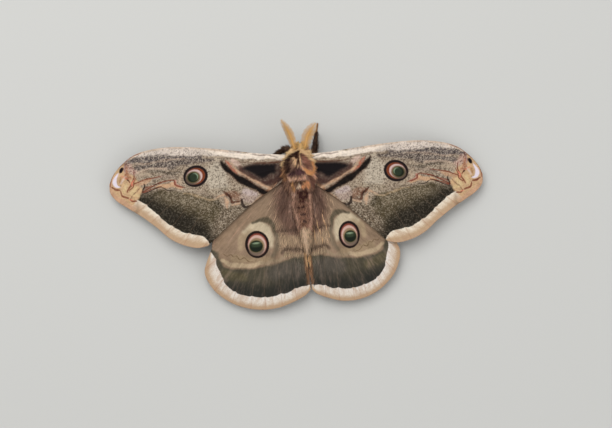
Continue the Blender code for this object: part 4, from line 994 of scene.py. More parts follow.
def wing_shell(kind, name, side, flat, triangles, rim):
    """The upper and the under skin of a membrane over flat points, joined round its edge."""
    spots, middle, ridge = wing_surface(kind, name, side, flat)
    thick = 1 - fade(rim - RIM_WIDTH / 2, RIM_WIDTH / 2)
    half = 0.5 * (RIM_THICKNESS + (MEMBRANE - RIM_THICKNESS) * thick)
    top = np.column_stack([spots, middle + half + ridge])
    bottom = np.column_stack([spots, middle - half - UNDER_RIDGE * ridge])
    count = len(flat)
    faces = triangles.tolist()
    if side < 0:
        faces = [face[::-1] for face in faces]
    under = [[c + count, b + count, a + count] for a, b, c in faces]
    ways = {(a, b) for face in faces for a, b in zip(face, face[1:] + face[:1])}
    edge = []
    for a, b in sorted(ways):
        if (b, a) not in ways:
            edge += [[b, a, a + count], [b, a + count, b + count]]
    return mesh_of(f"{kind}_scales_{name}", np.vstack([top, bottom]), faces + under + edge)


def make_wing(kind, name, side, material):
    """A thin curved membrane with veins and pleats, which carries the numbers of its markings."""
    wing = WINGS[kind]
    seed = wing["seed"] + MARK_SEED
    thin = [stroke for mark in wing["marks"] if mark.thin for stroke in mark.strokes]
    extra = stroke_rows(thin, lambda flat: wander(flat, seed, MARK_WANDER))
    flat, triangles, ring = wing_grid(wing["outline"], extra=extra)
    rim, vein = rim_gap(flat, ring), vein_gap(kind, flat)
    mesh = wing_shell(kind, name, side, flat, triangles, rim)

    def store_twice(label, kind_of_value, values):
        store(mesh, label, kind_of_value, np.concatenate([values, values]))

    store_twice("ground", "FLOAT_COLOR", paint(flat, wing["base"], wing["washes"], wing["seed"]))
    store_twice("place", "FLOAT_VECTOR", np.column_stack([flat, np.zeros(len(flat))]))
    away = flat - wing["root"]
    angle, out = np.arctan2(away[:, 1], away[:, 0]), np.linalg.norm(away, axis=1)
    flow = np.column_stack([angle * FLOW_ACROSS, out / FLOW_ALONG, np.full(len(flat), float(side))])
    store_twice("flow", "FLOAT_VECTOR", flow)
    shifted = wander(flat, seed, MARK_WANDER)
    for mark in wing["marks"]:
        if mark.fill:
            gap = area_gap(shifted, mark.strokes)
        else:
            gaps = [stroke_gap(shifted, smooth_path(stroke, MARK_STEP)) for stroke in mark.strokes]
            gap = np.minimum.reduce(gaps)
        store_twice(mark.name, "FLOAT", gap)
    gap = area_gap(shifted, wing["border"]) - NOTCH_DEPTH * np.exp(-((vein / NOTCH_WIDTH) ** 2))
    store_twice("border", "FLOAT", gap)
    within = np.maximum(-gap, 0.0)
    store_twice("border_share", "FLOAT", within / (within + rim + SMALL))
    store_twice("vein", "FLOAT", vein)
    obj = new_object(mesh.name, mesh)
    obj.data.materials.append(material)
    finish_piece(obj, STANCE_FRAME, [f"{kind}_{name}"])


def skin_stations():
    """Close sections of the body's skin, from the tail to the head."""
    return smooth_path(SKIN_SECTIONS[::-1], STATION_STEP)


def skin_section(forward):
    """Middle and half sizes of the body's section at each place along it."""
    stations = skin_stations()
    return [np.interp(forward, stations[:, 0], stations[:, k]) for k in range(1, 5)]


def skin_point(forward, angle, lift):
    """A place over the body's skin. The angle turns from the top, positive towards +X."""
    aside, height, half_width, half_height = skin_section(forward)
    x = aside + (half_width + lift) * math.sin(angle)
    return np.array([x, forward, height + (half_height + lift) * math.cos(angle)])


def ring_faces(count, sides, base=0):
    """Four-sided faces from ring to ring of points, numbered from base."""
    faces = []
    for i in range(count - 1):
        for k in range(sides):
            a, b = base + i * sides + k, base + i * sides + (k + 1) % sides
            faces.append([a, b, b + sides, a + sides])
    return faces


def patch_corners(low, high, near, far):
    return [(low, near), (high, near), (high, far), (low, far)]


def ring_map(rings, left, bottom, width, height):
    """A flat unwrap of a mesh over rings: along the rings from left, and from ring to ring from bottom."""
    count, sides = len(rings), len(rings[0])
    corners = []
    for i in range(count - 1):
        for k in range(sides):
            corners += patch_corners(k / sides, (k + 1) / sides, i / (count - 1), (i + 1) / (count - 1))
    return np.array([left, bottom]) + np.array(corners) * [width, height]


def rings_mesh(name, rings, closed=True):
    """A mesh over rings of points, with its ends closed if asked."""
    count, sides = len(rings), len(rings[0])
    faces = ring_faces(count, sides)
    if closed:
        faces.append(list(range(sides))[::-1])
        faces.append([(count - 1) * sides + k for k in range(sides)])
    return mesh_of(name, np.vstack(rings), faces)


def body_rings(stations):
    """Rings round the body's sections, in the body frame."""
    angles = np.arange(BODY_SIDES) * 2 * math.pi / BODY_SIDES
    rings = []
    for forward, aside, height, half_width, half_height in stations:
        x, z = aside + half_width * np.sin(angles), height + half_height * np.cos(angles)
        rings.append(np.column_stack([x, np.full(BODY_SIDES, forward), z]))
    return rings


def tube_rings(line, radii, sides, floor=None):
    """Rings round a bent line, one radius for each point, flattened where they meet a floor."""
    line = np.asarray(line, dtype=float)
    ahead = units(np.gradient(line, axis=0))
    across = np.cross(ahead[-1], (0.0, 0.0, 1.0))
    angles = (np.arange(sides) + 0.5) * 2 * math.pi / sides
    rings = []
    for middle, way, radius in reversed(list(zip(line, ahead, radii))):
        across = across - (across @ way) * way
        across /= np.linalg.norm(across)
        up = np.cross(across, way)
        ring = middle + radius * (np.outer(np.cos(angles), across) + np.outer(np.sin(angles), up))
        if floor is not None:
            ring[:, 2] = np.maximum(ring[:, 2], floor)
        rings.append(ring)
    return rings


def leg_line(name):
    """Points down the middle of a leg in the stance frame, with the leg's radius at each."""
    forward, angle = LEG_ROOTS[name.split("_")[0]]
    angle = math.radians(angle if name.endswith("right") else -angle)
    root = moved(skin_point(forward, angle, -LEG_SUNK)[None, :], BODY_IN_STANCE)[0]
    knee, ankle, heel, toe = LEG_JOINTS[name]
    points = [root, knee, ankle, (*heel, FOOT_HEIGHT), (*toe, FOOT_HEIGHT)]
    return smooth_path([(*point, radius) for point, radius in zip(points, LEG_RADII)], STATION_STEP)


def leg_rings(stations):
    return tube_rings(stations[:, :3], stations[:, 3], LEG_SIDES, floor=FLOOR)


def make_skin():
    """Thorax, abdomen, head and legs in one closed skin without a seam."""
    work = bmesh.new()
    body = rings_mesh("body", body_rings(skin_stations()))
    body.transform(BODY_IN_STANCE)
    work.from_mesh(body)
    for name in LEG_JOINTS:
        work.from_mesh(rings_mesh(name, leg_rings(leg_line(name))))
    skin = new_object("skin", work)
    remesh = skin.modifiers.new("one skin", "REMESH")
    remesh.mode = "VOXEL"
    remesh.voxel_size = SKIN_VOXEL
    skin = baked(skin, "body_skin")
    store(skin.data, "tint", "FLOAT_COLOR", skin_colour(points_of(skin.data)))
    skin.data.materials.append(skin_material())
    replaced = ["thorax", "abdomen", "head"] + [f"leg_{name}" for name in LEG_JOINTS]
    finish_piece(skin, STANCE_FRAME, replaced)


def hair_paint(colour):
    return np.array([*linear(colour), BODY_BASE.grain])


def body_colour(places):
    """Colour and grain of the body's coat at places in the stance frame."""
    in_body = moved(places, BODY_IN_STANCE.inverted())
    above = paint(in_body[:, :2], BODY_BASE, BODY_WASHES, BODY_SEED)
    height = skin_section(in_body[:, 1])[1]
    low = fade(in_body[:, 2] - height + BELLY_BELOW, BELLY_SOFT)[:, None]
    return above * (1 - low) + low * hair_paint(BELLY_COLOUR)


def leg_colour(places):
    """Colour and grain of the legs' coat, tan on the feet."""
    foot = fade(places[:, 2:3] - FOOT_TOP, FOOT_SOFT)
    return hair_paint(FOOT_COLOUR) * foot + hair_paint(LEG_COLOUR) * (1 - foot)


def skin_colour(places):
    """Colour and grain of the skin, which carries the marks of its coats."""
    in_body = moved(places, BODY_IN_STANCE.inverted())
    aside, height, half_width, half_height = skin_section(in_body[:, 1])
    out = np.hypot((in_body[:, 0] - aside) / half_width, (in_body[:, 2] - height) / half_height)
    limb = fade(LIMB_OUT - out, LIMB_SOFT)[:, None]
    return body_colour(places) * (1 - limb) + limb * leg_colour(places)


def wing_hair_colour(kind, name, side, places):
    """Colour and grain of the hair over a wing's root, with the wing's own marks and the hair's."""
    wing = WINGS[kind]
    washes = wing["washes"] + wing["hair_washes"]
    if kind == "forewing":
        flat = places[:, :2] * [side, 1.0]
    else:
        flat = moved(places, BODY_IN_STANCE.inverted())[:, :2] / [side * HINDWING_SPREAD[name], 1.0]
        washes += RIGHT_HAIR_WASHES if name == "right" else ()
    return paint(flat, wing["base"], washes, wing["seed"])


def dye(coat, colours):
    """Gives each strand of a coat the colour of the place where it shows, near its tip."""
    rings = points_of(coat.data).reshape(-1, STRAND_STEPS + 1, 3, 3).mean(axis=2)
    tint = colours((1 - NEAR_TIP) * rings[:, -2] + NEAR_TIP * rings[:, -1])
    store(coat.data, "tint", "FLOAT_COLOR", np.repeat(tint, 3 * (STRAND_STEPS + 1), axis=0))


def skin_material():
    material, tree, shader = new_material("body skin")
    fine = noise(tree, in_millimetres(tree), 5.0)
    bump = node(tree, "ShaderNodeBump", {"Strength": 0.6, "Distance": 0.0001, "Height": fine})
    fill_in(tree, shader, {
        "Base Color": multiplied(tree, read(tree, "tint", "Color"), SKIN_TINT),
        "Normal": bump.outputs["Normal"], "Roughness": 0.85, "Specular IOR Level": 0.1,
    })
    return material


def hair_material(name, roughness=0.6, gold=0.35, light=(1.0, 1.9), swing=1.04):
    """Hair that goes from the first to the second lightness in light on its way to the tip, its darker root
    being painted shade deep in the coat. swing is how far its strands differ in tone, and gold how golden
    the lightest tufts are near their tips, as golden hairs and as painted sheen on the dark ones."""
    material, tree, shader = new_material(name)
    tint = read(tree, "tint", "Color")
    share, strand, tone = (read(tree, label, "Fac") for label in ("share", "strand", "tone"))
    # Darker at the root and lighter towards the tip: painted shade deep in the coat
    bright = ranged(tree, share, 0.0, LIT_SHARE, *light)
    for part, far in ((strand, swing), (tone, TUFT_SWING)):
        bright = maths(tree, "MULTIPLY", bright, maths(tree, "MULTIPLY_ADD", part, far, 1.0 - far / 2))
    red = node(tree, "ShaderNodeSeparateColor", {0: tint}).outputs[0]
    bright = maths(tree, "MINIMUM", bright, maths(tree, "DIVIDE", BRIGHTEST, red))
    # Golden near the tips of the lightest tufts: golden hairs, and painted sheen among the dark ones
    golden = maths(tree, "MULTIPLY", ranged(tree, tone, *GOLDEN_TONES, 0.0, gold), share)
    colour = mix(tree, golden, multiplied(tree, tint, bright), shade(GOLDEN_HAIR_AND_SHEEN))
    own = node(tree, "ShaderNodeNewGeometry").outputs["Normal"]
    up = read(tree, "skin_up", "Vector")
    facing = node(tree, "ShaderNodeMix", {0: SKIN_FACING, 4: own, 5: up}, data_type="VECTOR").outputs[1]
    even = node(tree, "ShaderNodeVectorMath", {0: facing}, operation="NORMALIZE").outputs[0]
    fill_in(tree, shader, {
        "Base Color": colour, "Normal": even, "Roughness": roughness, "Specular IOR Level": 0.12,
    })
    return material


def tuft(name, strands, width, spread, seed):
    """Tapered three-sided strands from one root, about a unit long towards +Y and standing up towards +Z."""
    rng = np.random.default_rng(seed)
    points, faces, corners, shares, tones = [], [], [], [], []
    for strand in range(strands):
        length = rng.uniform(*STRAND_LENGTHS)
        root = [rng.uniform(-far, far) for far in STRAND_ROOTS]
        start = np.array([*root, -STRAND_SUNK])
        aside = rng.uniform(-spread, spread)
        rise = rng.uniform(*STRAND_RISES)
        turn = rng.uniform(0.0, 2.1)
        tone = rng.uniform()
        base = len(points)
        for step in range(STRAND_STEPS + 1):
            t = step / STRAND_STEPS
            middle = start + length * np.array([aside * t**1.4, t, rise * t * (1.6 - t)])
            radius = width * (1 - 0.9 * t) * (1 + 0.5 * t)
            for k in range(3):
                angle = turn + 2 * math.pi * k / 3
                points.append(middle + radius * np.array([math.cos(angle), 0.0, math.sin(angle)]))
            shares += [t] * 3
            tones += [tone] * 3
        for step in range(STRAND_STEPS):
            near, far = step / STRAND_STEPS, (step + 1) / STRAND_STEPS
            for k in range(3):
                low, high = (strand + k / 3) / strands, (strand + (k + 1) / 3) / strands
                corners += patch_corners(low, high, near, far)
        faces += ring_faces(STRAND_STEPS + 1, 3, base)
        faces.append([len(points) - 3 + k for k in range(3)])
        left, right = strand / strands, (strand + 0.5) / strands
        corners += [(left, 1.0), (right, 1.0), (right, 0.96)]
    mesh = mesh_of(name, points, faces)
    store_map(mesh, "patch", corners)
    store(mesh, "share", "FLOAT", shares)
    store(mesh, "strand", "FLOAT", tones)
    return new_object(name, mesh)


def coat_tree():
    """Tufts strewn over a surface, each turned along the surface's lie, with a map of where it stands."""
    tree, given, result = new_group("coat of tufts", "GeometryNodeTree", {
        "Surface": ("Geometry", None), "Tuft": ("Object", None), "Spacing": ("Float", 0.4),
        "Wildness": ("Float", 0.2), "Patch": ("Float", PATCH_SIZE), "Seed": ("Int", 1),
        "Material": ("Material", None),
    }, {"Coat": "Geometry"})
    strewn = node(tree, "GeometryNodeDistributePointsOnFaces", {
        "Mesh": given["Surface"], "Distance Min": given["Spacing"], "Density Max": DENSEST,
        "Density Factor": held(tree, "density"), "Seed": given["Seed"],
    }, distribute_method="POISSON")
    out = strewn.outputs["Normal"]
    tone = random_value(tree, 0.0, 1.0, 11)
    noted = note(tree, strewn.outputs["Points"], "tone", tone, "FLOAT")
    noted = note(tree, noted, "skin_up", out, "FLOAT_VECTOR")
    upright = node(tree, "FunctionNodeAlignRotationToVector", {"Vector": out}, axis="Z")
    lying = node(tree, "FunctionNodeAlignRotationToVector", {
        "Rotation": upright.outputs[0], "Vector": held(tree, "lie", "FLOAT_VECTOR"),
    }, axis="Y", pivot_axis="Z")

    def wild(far, seed):
        return maths(tree, "MULTIPLY", random_value(tree, -far, far, seed), given["Wildness"])

    pitch = maths(tree, "ADD", held(tree, "lift"), wild(1.0, 12))
    angles = node(tree, "ShaderNodeCombineXYZ", {0: pitch, 1: wild(1.0, 13), 2: wild(1.6, 14)})
    turn = node(tree, "FunctionNodeEulerToRotation", {0: angles.outputs[0]})
    turned = node(tree, "FunctionNodeRotateRotation", {
        "Rotation": lying.outputs[0], "Rotate By": turn.outputs[0],
    }, rotation_space="LOCAL")
    size = maths(tree, "MULTIPLY", held(tree, "length"), random_value(tree, 0.7, 1.15, 15))
    real = set_on_points(tree, noted, given["Tuft"], turned.outputs[0], size)
    patch = vectors(tree, "SCALE", {0: held(tree, "patch", "FLOAT_VECTOR"), "Scale": given["Patch"]})
    spot = vectors(tree, "ADD", {0: held(tree, "skin_map", "FLOAT_VECTOR"), 1: patch})
    dress(tree, note(tree, real, "OFBake", spot, "FLOAT2", "CORNER"), given, result)
    return tree


def row_tree():
    """One part set on each point of a row, by the turn and the size that the point holds."""
    tree, given, result = new_group("row of parts", "GeometryNodeTree", {
        "Row": ("Geometry", None), "Part": ("Object", None), "Material": ("Material", None),
    }, {"Parts": "Geometry"})
    turn = node(tree, "FunctionNodeEulerToRotation", {0: held(tree, "turn", "FLOAT_VECTOR")})
    real = set_on_points(tree, given["Row"], given["Part"], turn.outputs[0], held(tree, "size"))
    dress(tree, real, given, result)
    return tree


def held(tree, name, kind="FLOAT"):
    """A named attribute of the geometry."""
    return node(tree, "GeometryNodeInputNamedAttribute", {"Name": name}, data_type=kind).outputs["Attribute"]


def note(tree, source, name, value, kind, domain="POINT"):
    """The geometry with a named attribute kept in it."""
    values = {"Geometry": source, "Name": name, "Value": value}
    return node(tree, "GeometryNodeStoreNamedAttribute", values, data_type=kind, domain=domain).outputs[0]


def random_value(tree, low, high, seed):
    values = {2: low, 3: high, "Seed": seed}
    return node(tree, "FunctionNodeRandomValue", values, data_type="FLOAT").outputs[1]


def set_on_points(tree, points, part, turn, size):
    """A copy of an object on each point, as real geometry."""
    source = node(tree, "GeometryNodeObjectInfo", {"Object": part}, transform_space="ORIGINAL")
    placed = node(tree, "GeometryNodeInstanceOnPoints", {
        "Points": points, "Instance": source.outputs["Geometry"], "Rotation": turn, "Scale": size,
    })
    return node(tree, "GeometryNodeRealizeInstances", {"Geometry": placed.outputs[0]}).outputs[0]


def dress(tree, source, given, result):
    """Ends a tree with its material."""
    dressed = node(tree, "GeometryNodeSetMaterial", {"Geometry": source, "Material": given["Material"]})
    tree.links.new(dressed.outputs[0], result.inputs[0])


def grow(surface, tree, values):
    """What a tree of nodes makes on a surface, as a mesh of its own with the surface's name."""
    name = surface.name
    modifier = surface.modifiers.new(name, "NODES")
    modifier.node_group = tree
    for item in tree.interface.items_tree:
        if item.in_out == "INPUT" and item.name in values:
            modifier[item.identifier] = values[item.name]
    made = baked(surface, name)
    for spare in ("patch", "skin_map", "lie", "length", "lift", "density", "turn", "size"):
        if spare in made.data.attributes:
            made.data.attributes.remove(made.data.attributes[spare])
    return made


def growth_surface(mesh, lie, length, lift, density, skin_map):
    """A surface for hair to grow on, with what the tufts read from it."""
    store(mesh, "lie", "FLOAT_VECTOR", lie)
    store(mesh, "length", "FLOAT", length)
    store(mesh, "lift", "FLOAT", lift)
    store(mesh, "density", "FLOAT", density)
    store_map(mesh, "skin_map", skin_map)
    return new_object(mesh.name, mesh)


def make_coats(tree):
    """Woolly hair over the body, short hair down the legs and lying hair over the roots of the wings."""
    def make_coat(surface, strands, material, colours, spacing, wildness, seed):
        coat = grow(surface, tree, {
            "Tuft": strands, "Spacing": spacing, "Wildness": wildness, "Seed": seed, "Material": material,
        })
        dye(coat, colours)
        finish_piece(coat, STANCE_FRAME)

    body_tuft = tuft("body tuft", strands=7, width=0.032, spread=0.3, seed=41)
    leg_tuft = tuft("leg tuft", strands=4, width=0.05, spread=0.4, seed=42)
    wing_tuft = tuft("wing tuft", strands=5, width=0.032, spread=0.16, seed=43)
    woolly = hair_material("woolly hair")
    short = hair_material("leg hair", roughness=0.5)
    lying = hair_material("lying hair", roughness=0.7, gold=0.0, light=(1.0, 1.8), swing=0.5)
    for name, front, back, spacing, slot in BODY_COATS:
        surface = body_growth(name, front, back)
        make_coat(surface, body_tuft, woolly, body_colour, spacing, wildness=0.2, seed=5)
    make_coat(leg_growth(), leg_tuft, short, leg_colour, spacing=0.33, wildness=0.25, seed=6)
    for kind in WINGS:
        for number, (name, side) in enumerate(SIDES.items()):
            make_coat(
                wing_growth(kind, name, side), wing_tuft, lying, partial(wing_hair_colour, kind, name, side),
                spacing=0.5, wildness=0.07, seed=7 + number,
            )
    for spare in (body_tuft, leg_tuft, wing_tuft):
        bpy.data.objects.remove(spare)


def wing_growth(kind, name, side):
    """The upper skin over a wing's root with the lie and the length of the hair that lies on it."""
    wing = WINGS[kind]
    flat, triangles, ring = wing_grid(wing["hair"], HAIR_GRID_STEP)
    spots, middle, ridge = wing_surface(kind, name, side, flat)
    away = units(flat - wing["root"] - wing["hair_from"])
    lie = place_in_stance(kind, name, side, flat + away) - spots
    length = wing["hair_length"] * (1 + 0.3 * ripple(flat, 1.6, wing["seed"] + HAIR_SEED))
    thinning = np.clip(rim_gap(flat, ring) / 2.0, 0.1, 1.0)
    faces = triangles if side > 0 else triangles[:, ::-1]
    top = np.column_stack([spots, middle + 0.5 * MEMBRANE + ridge])
    mesh = mesh_of(f"coat_{kind}_{name}", top, faces.tolist())
    right, ahead = flat[:, 0] / WING_MAP_SPAN, flat[:, 1] / WING_MAP_SPAN
    mapped = np.column_stack([0.5 + side * (MAP_EDGE + right), 0.6 + ahead])
    lie, lift = np.column_stack([lie, np.zeros(len(flat))]), np.full(len(flat), WING_HAIR_LIFT)
    return growth_surface(mesh, lie, length, lift, thinning, mapped[faces.ravel()])


def body_growth(name, front, back):
    """The body's skin from front to back with the lie and the length of its hair."""
    stations = skin_stations()
    whole = len(stations)
    picked = [i for i in range(whole) if back <= stations[i][0] <= front]
    rings = body_rings(stations[picked])
    mesh = rings_mesh(name, rings, closed=False)
    places = np.vstack(rings)
    table = np.array(sorted(COAT_STATIONS))
    length, lift, sway = (np.interp(places[:, 1], table[:, 0], table[:, k]) for k in (1, 2, 3))
    angles = np.tile(np.arange(BODY_SIDES) * 2 * math.pi / BODY_SIDES, len(rings))
    angles = np.where(angles > math.pi, angles - 2 * math.pi, angles)
    x = np.repeat(stations[picked, 3], BODY_SIDES) * np.cos(angles)
    z = -np.repeat(stations[picked, 4], BODY_SIDES) * np.sin(angles)
    round_way = np.column_stack([x, np.zeros(len(angles)), z])
    round_way *= (np.sign(angles) / np.linalg.norm(round_way, axis=1))[:, None]
    sway = np.radians(sway) * np.clip(np.abs(np.sin(angles)) * 2.5, 0.0, 1.0)
    lie = round_way * np.sin(sway)[:, None] + np.array([0.0, -1.0, 0.0]) * np.cos(sway)[:, None]
    lie = lie @ np.array(BODY_IN_STANCE.to_3x3()).T
    unrolled = np.column_stack([angles * 4.0, places[:, 1]])
    length = length * (1 + 0.22 * ripple(unrolled, 0.9, 51))
    lift = np.radians(lift) * (1 + 0.3 * ripple(unrolled, 1.1, 52))
    density = 0.5 + 0.5 * np.clip(np.cos(angles) + 0.9, 0.0, 1.0)
    bottom = MAP_EDGE + MAP_HEIGHT * (picked[0] / whole)
    height = MAP_HEIGHT * (picked[-1] - picked[0]) / whole
    mesh.transform(BODY_IN_STANCE)
    return growth_surface(
        mesh, lie, length, lift, density, ring_map(rings, MAP_EDGE, bottom, BODY_MAP_WIDTH, height)
    )


def leg_growth():
    """The legs' skin with the lie and the length of its hair."""
    points, faces, notes = [], [], []
    for index, name in enumerate(LEG_JOINTS):
        stations = leg_line(name)
        rings = leg_rings(stations)
        skin = np.vstack(rings)
        share = np.repeat(np.linspace(1.0, 0.0, len(rings)), LEG_SIDES)
        ahead = np.repeat(np.gradient(stations[::-1, :3], axis=0), LEG_SIDES, axis=0)
        length = np.interp(share, (0.0, 0.35, 0.7, 1.0), (2.2, 1.6, 0.9, 0.5))
        lift = np.interp(share, (0.0, 0.6, 1.0), (0.5, 0.45, 0.25))
        density = np.where(skin[:, 2] < BARE_BELOW, 0.0, 1.0)
        left = LEG_MAP_LEFT + LEG_MAP_STEP * index
        skin_map = ring_map(rings, left, MAP_EDGE, LEG_MAP_WIDTH, MAP_HEIGHT)
        notes.append((-units(ahead), length, lift, density, skin_map))
        faces += ring_faces(len(rings), LEG_SIDES, sum(len(part) for part in points))
        points.append(skin)
    mesh = mesh_of("coat_legs", np.vstack(points), faces)
    return growth_surface(mesh, *(np.concatenate(part) for part in zip(*notes)))


def make_eye(name, side):
    """A dark glossy eye of many small facets."""
    work = bmesh.new()
    bmesh.ops.create_uvsphere(work, u_segments=48, v_segments=32, radius=EYE_RADIUS)
    eye = new_object(f"glossy_eye_{name}", work)
    aside = Matrix.Rotation(HEAD_TURN, 4, "Z") @ Vector((side * EYE_ASIDE, 0.0, 0.0))
    material, tree, shader = new_material(f"compound eye {name}")
    cells = node(tree, "ShaderNodeTexVoronoi", {"Vector": in_millimetres(tree), "Scale": 9.0})
    fill_in(tree, shader, {
        "Base Color": shade(EYE_COLOUR), "Roughness": 0.18,
        "Normal": bumped(tree, cells.outputs["Distance"], 0.3, 0.00004),
    })
    eye.data.materials.append(material)
    finish_piece(eye, BODY_FRAME @ Matrix.Translation(HEAD_MIDDLE + aside), [f"eye_{name}"])


def ramus():
    """One side branch of an antenna, a unit long towards +Y, curved ahead towards +X, with fine bristles."""
    points, faces = [], []

    def spike(line, radii):
        base = len(points)
        for (x, y, z), radius in zip(line, radii):
            for k in range(3):
                angle = 2 * math.pi * k / 3
                points.append((x + radius * math.cos(angle), y, z + radius * math.sin(angle)))
        faces.extend(ring_faces(len(line), 3, base))
        faces.append([len(points) - 3 + k for k in range(3)])

    def stem(t):
        return (0.2 * t**2, t, -0.06 * t**2)

    steps = np.linspace(0.0, 1.0, 6)
    spike([stem(t) for t in steps], [0.075 * (1 - 0.7 * t) for t in steps])
    for t in np.linspace(0.15, 0.95, 9):
        for way in (-1, 1):
            x, y, z = stem(t)
            spike([(x, y, z), (x + way * 0.1, y + 0.08, z)], [0.026, 0.008])
    return new_object("ramus", mesh_of("ramus", points, faces))


def rami_row(name, path):
    """Points down both edges of an antenna's shaft, with the turn and the size of the branch on each."""
    ahead = units(np.gradient(path, axis=0))
    travelled = np.concatenate([[0.0], np.cumsum(np.linalg.norm(np.diff(path, axis=0), axis=1))])
    whole = travelled[-1]
    places, turns, sizes = [], [], []
    for number, stop in enumerate(np.arange(RAMI_START * whole, whole - RAMI_SHORT, RAMUS_STEP)):
        middle = Vector([float(np.interp(stop, travelled, path[:, k])) for k in range(3)])
        way = Vector([float(np.interp(stop, travelled, ahead[:, k])) for k in range(3)]).normalized()
        across = way.cross(Vector((0, 0, 1))).normalized()
        across.rotate(Matrix.Rotation(ANTENNA_ROLL[name], 3, way))
        share = stop / whole
        # Longest at the middle of the row, and short at both ends
        size = RAMUS_LENGTH * max(0.0, math.sin(math.pi * (0.1 + 0.84 * share))) ** 0.8
        for edge in (-1, 1):
            lean = (math.cos(RAMUS_LEAN) * way + edge * math.sin(RAMUS_LEAN) * across).normalized()
            up = lean.cross(edge * across.cross(way)).normalized()
            normal = up.cross(lean).normalized()
            places.append(tuple(middle))
            turns.append(Matrix((up, lean, normal)).transposed().to_euler()[:])
            sizes.append(size * (1.0 + 0.06 * math.sin(7.3 * number + edge)))
    row = mesh_of(f"rami_{name}", places, [])
    store(row, "turn", "FLOAT_VECTOR", turns)
    store(row, "size", "FLOAT", sizes)
    return new_object(row.name, row)


def make_antenna(name, side, tree):
    """A slender shaft with a close row of bristled side branches along both edges."""
    root = skin_point(ANTENNA_FORWARD, side * ANTENNA_ANGLE, -ANTENNA_SUNK)
    path = smooth_path([root, ANTENNA_OUT[name], *ANTENNA_BEND_AND_TIP[name]], SHAFT_STEP)
    share = np.linspace(0.0, 1.0, len(path))
    radii = SHAFT_RADII[0] + (SHAFT_RADII[1] - SHAFT_RADII[0]) * share
    material, node_tree, shader = new_material(f"antenna horn {name}")
    fill_in(node_tree, shader, {
        "Base Color": shade(ANTENNA_COLOUR), "Roughness": 0.5, "Specular IOR Level": 0.3,
    })
    branch = ramus()
    rami = grow(rami_row(name, path), tree, {"Part": branch, "Material": material})
    work = bmesh.new()
    work.from_mesh(rings_mesh("shaft", tube_rings(path, radii, SHAFT_SIDES)))
    work.from_mesh(rami.data)
    for spare in (branch, rami):
        bpy.data.objects.remove(spare)
    antenna = new_object(f"feathered_antenna_{name}", work)
    antenna.data.materials.append(material)
    finish_piece(antenna, BODY_FRAME, [f"antenna_{name}"])


def new_material(name):
    """A new material with its nodes and its main shader."""
    material = bpy.data.materials.new(name)
    material.use_nodes = True
    return material, material.node_tree, material.node_tree.nodes["Principled BSDF"]


def fill_in(tree, item, values):
    """Sets a node's inputs to values, or links them to other nodes' outputs."""
    for name, value in values.items():
        if isinstance(value, bpy.types.NodeSocket):
            tree.links.new(value, item.inputs[name])
        else:
            item.inputs[name].default_value = value


def node(tree, kind, values=None, **settings):
    """A new node with its settings and its inputs."""
    made = tree.nodes.new(kind)
    for name, value in settings.items():
        setattr(made, name, value)
    fill_in(tree, made, values or {})
    return made


def new_group(name, kind, inputs, outputs):
    """An empty node group with named sockets. Returns it with its input sockets and its output node."""
    tree = bpy.data.node_groups.new(name, kind)
    for label, (socket, default) in inputs.items():
        made = tree.interface.new_socket(label, in_out="INPUT", socket_type=f"NodeSocket{socket}")
        if default is not None:
            made.default_value = default
    for label, socket in outputs.items():
        tree.interface.new_socket(label, in_out="OUTPUT", socket_type=f"NodeSocket{socket}")
    return tree, tree.nodes.new("NodeGroupInput").outputs, tree.nodes.new("NodeGroupOutput")


def use(tree, group, values):
    """What a group gives."""
    return node(tree, "ShaderNodeGroup", values, node_tree=group).outputs[0]


def maths(tree, operation, *values, **settings):
    return node(tree, "ShaderNodeMath", dict(enumerate(values)), operation=operation, **settings).outputs[0]


def vectors(tree, operation, values):
    return node(tree, "ShaderNodeVectorMath", values, operation=operation).outputs[0]


def mix(tree, factor, first, second):
    """One colour laid over another by a mask."""
    return node(tree, "ShaderNodeMix", {0: factor, 6: first, 7: second}, data_type="RGBA").outputs[2]


def multiplied(tree, first, second):
    """One colour times another, or times a number."""
    values = {0: 1.0, 6: first, 7: second}
    return node(tree, "ShaderNodeMix", values, data_type="RGBA", blend_type="MULTIPLY").outputs[2]


def ranged(tree, value, low, high, start=0.0, end=1.0, **settings):
    """A value that goes from start to end while another goes from low to high."""
    values = {"Value": value, "From Min": low, "From Max": high, "To Min": start, "To Max": end}
    return node(tree, "ShaderNodeMapRange", values, **settings).outputs[0]


def noise(tree, place, scale, detail=2.0, roughness=0.5):
    values = {"Vector": place, "Scale": scale, "Detail": detail, "Roughness": roughness}
    return node(tree, "ShaderNodeTexNoise", values).outputs["Fac"]


def bumped(tree, height, strength, distance):
    """A normal that follows a height."""
    values = {"Strength": strength, "Distance": distance, "Height": height}
    return node(tree, "ShaderNodeBump", values).outputs["Normal"]


def read(tree, name, output):
    """What a mesh holds under a name."""
    return node(tree, "ShaderNodeAttribute", attribute_name=name).outputs[output]


def in_millimetres(tree):
    """Object coordinates in millimetres."""
    place = node(tree, "ShaderNodeTexCoord").outputs["Object"]
    return vectors(tree, "SCALE", {0: place, "Scale": 1 / MM})


def stray(tree, value, far):
    """Noise round 0.5 as a shift to either side of 0, by far for each 1."""
    return maths(tree, "MULTIPLY", maths(tree, "SUBTRACT", value, 0.5), far)


def shader_groups():
    return {
        "edge": edge_group(), "disc": disc_group(), "flecks": flecks_group(), "streaks": streaks_group(),
    }


def give_mask(group, given, result, gap, jitter):
    """Ends a group with a mask that is 1 on the inner side of an edge, which single scales cross."""
    gap = maths(group, "ADD", gap, stray(group, given["Scales"], jitter))
    low = maths(group, "MULTIPLY", given["Soft"], -1.0)
    mask = ranged(group, gap, low, given["Soft"], 1.0, 0.0, interpolation_type="SMOOTHSTEP")
    group.links.new(mask, result.inputs["Mask"])
    return group


def give_colour(group, given, result, up, down, pale, dark):
    """Ends a group with its colour: paler where up says, and darker where down says."""
    darker = multiplied(group, given["Color"], dark)
    colour = mix(group, down, mix(group, up, given["Color"], pale), darker)
    group.links.new(colour, result.inputs["Color"])
    return group


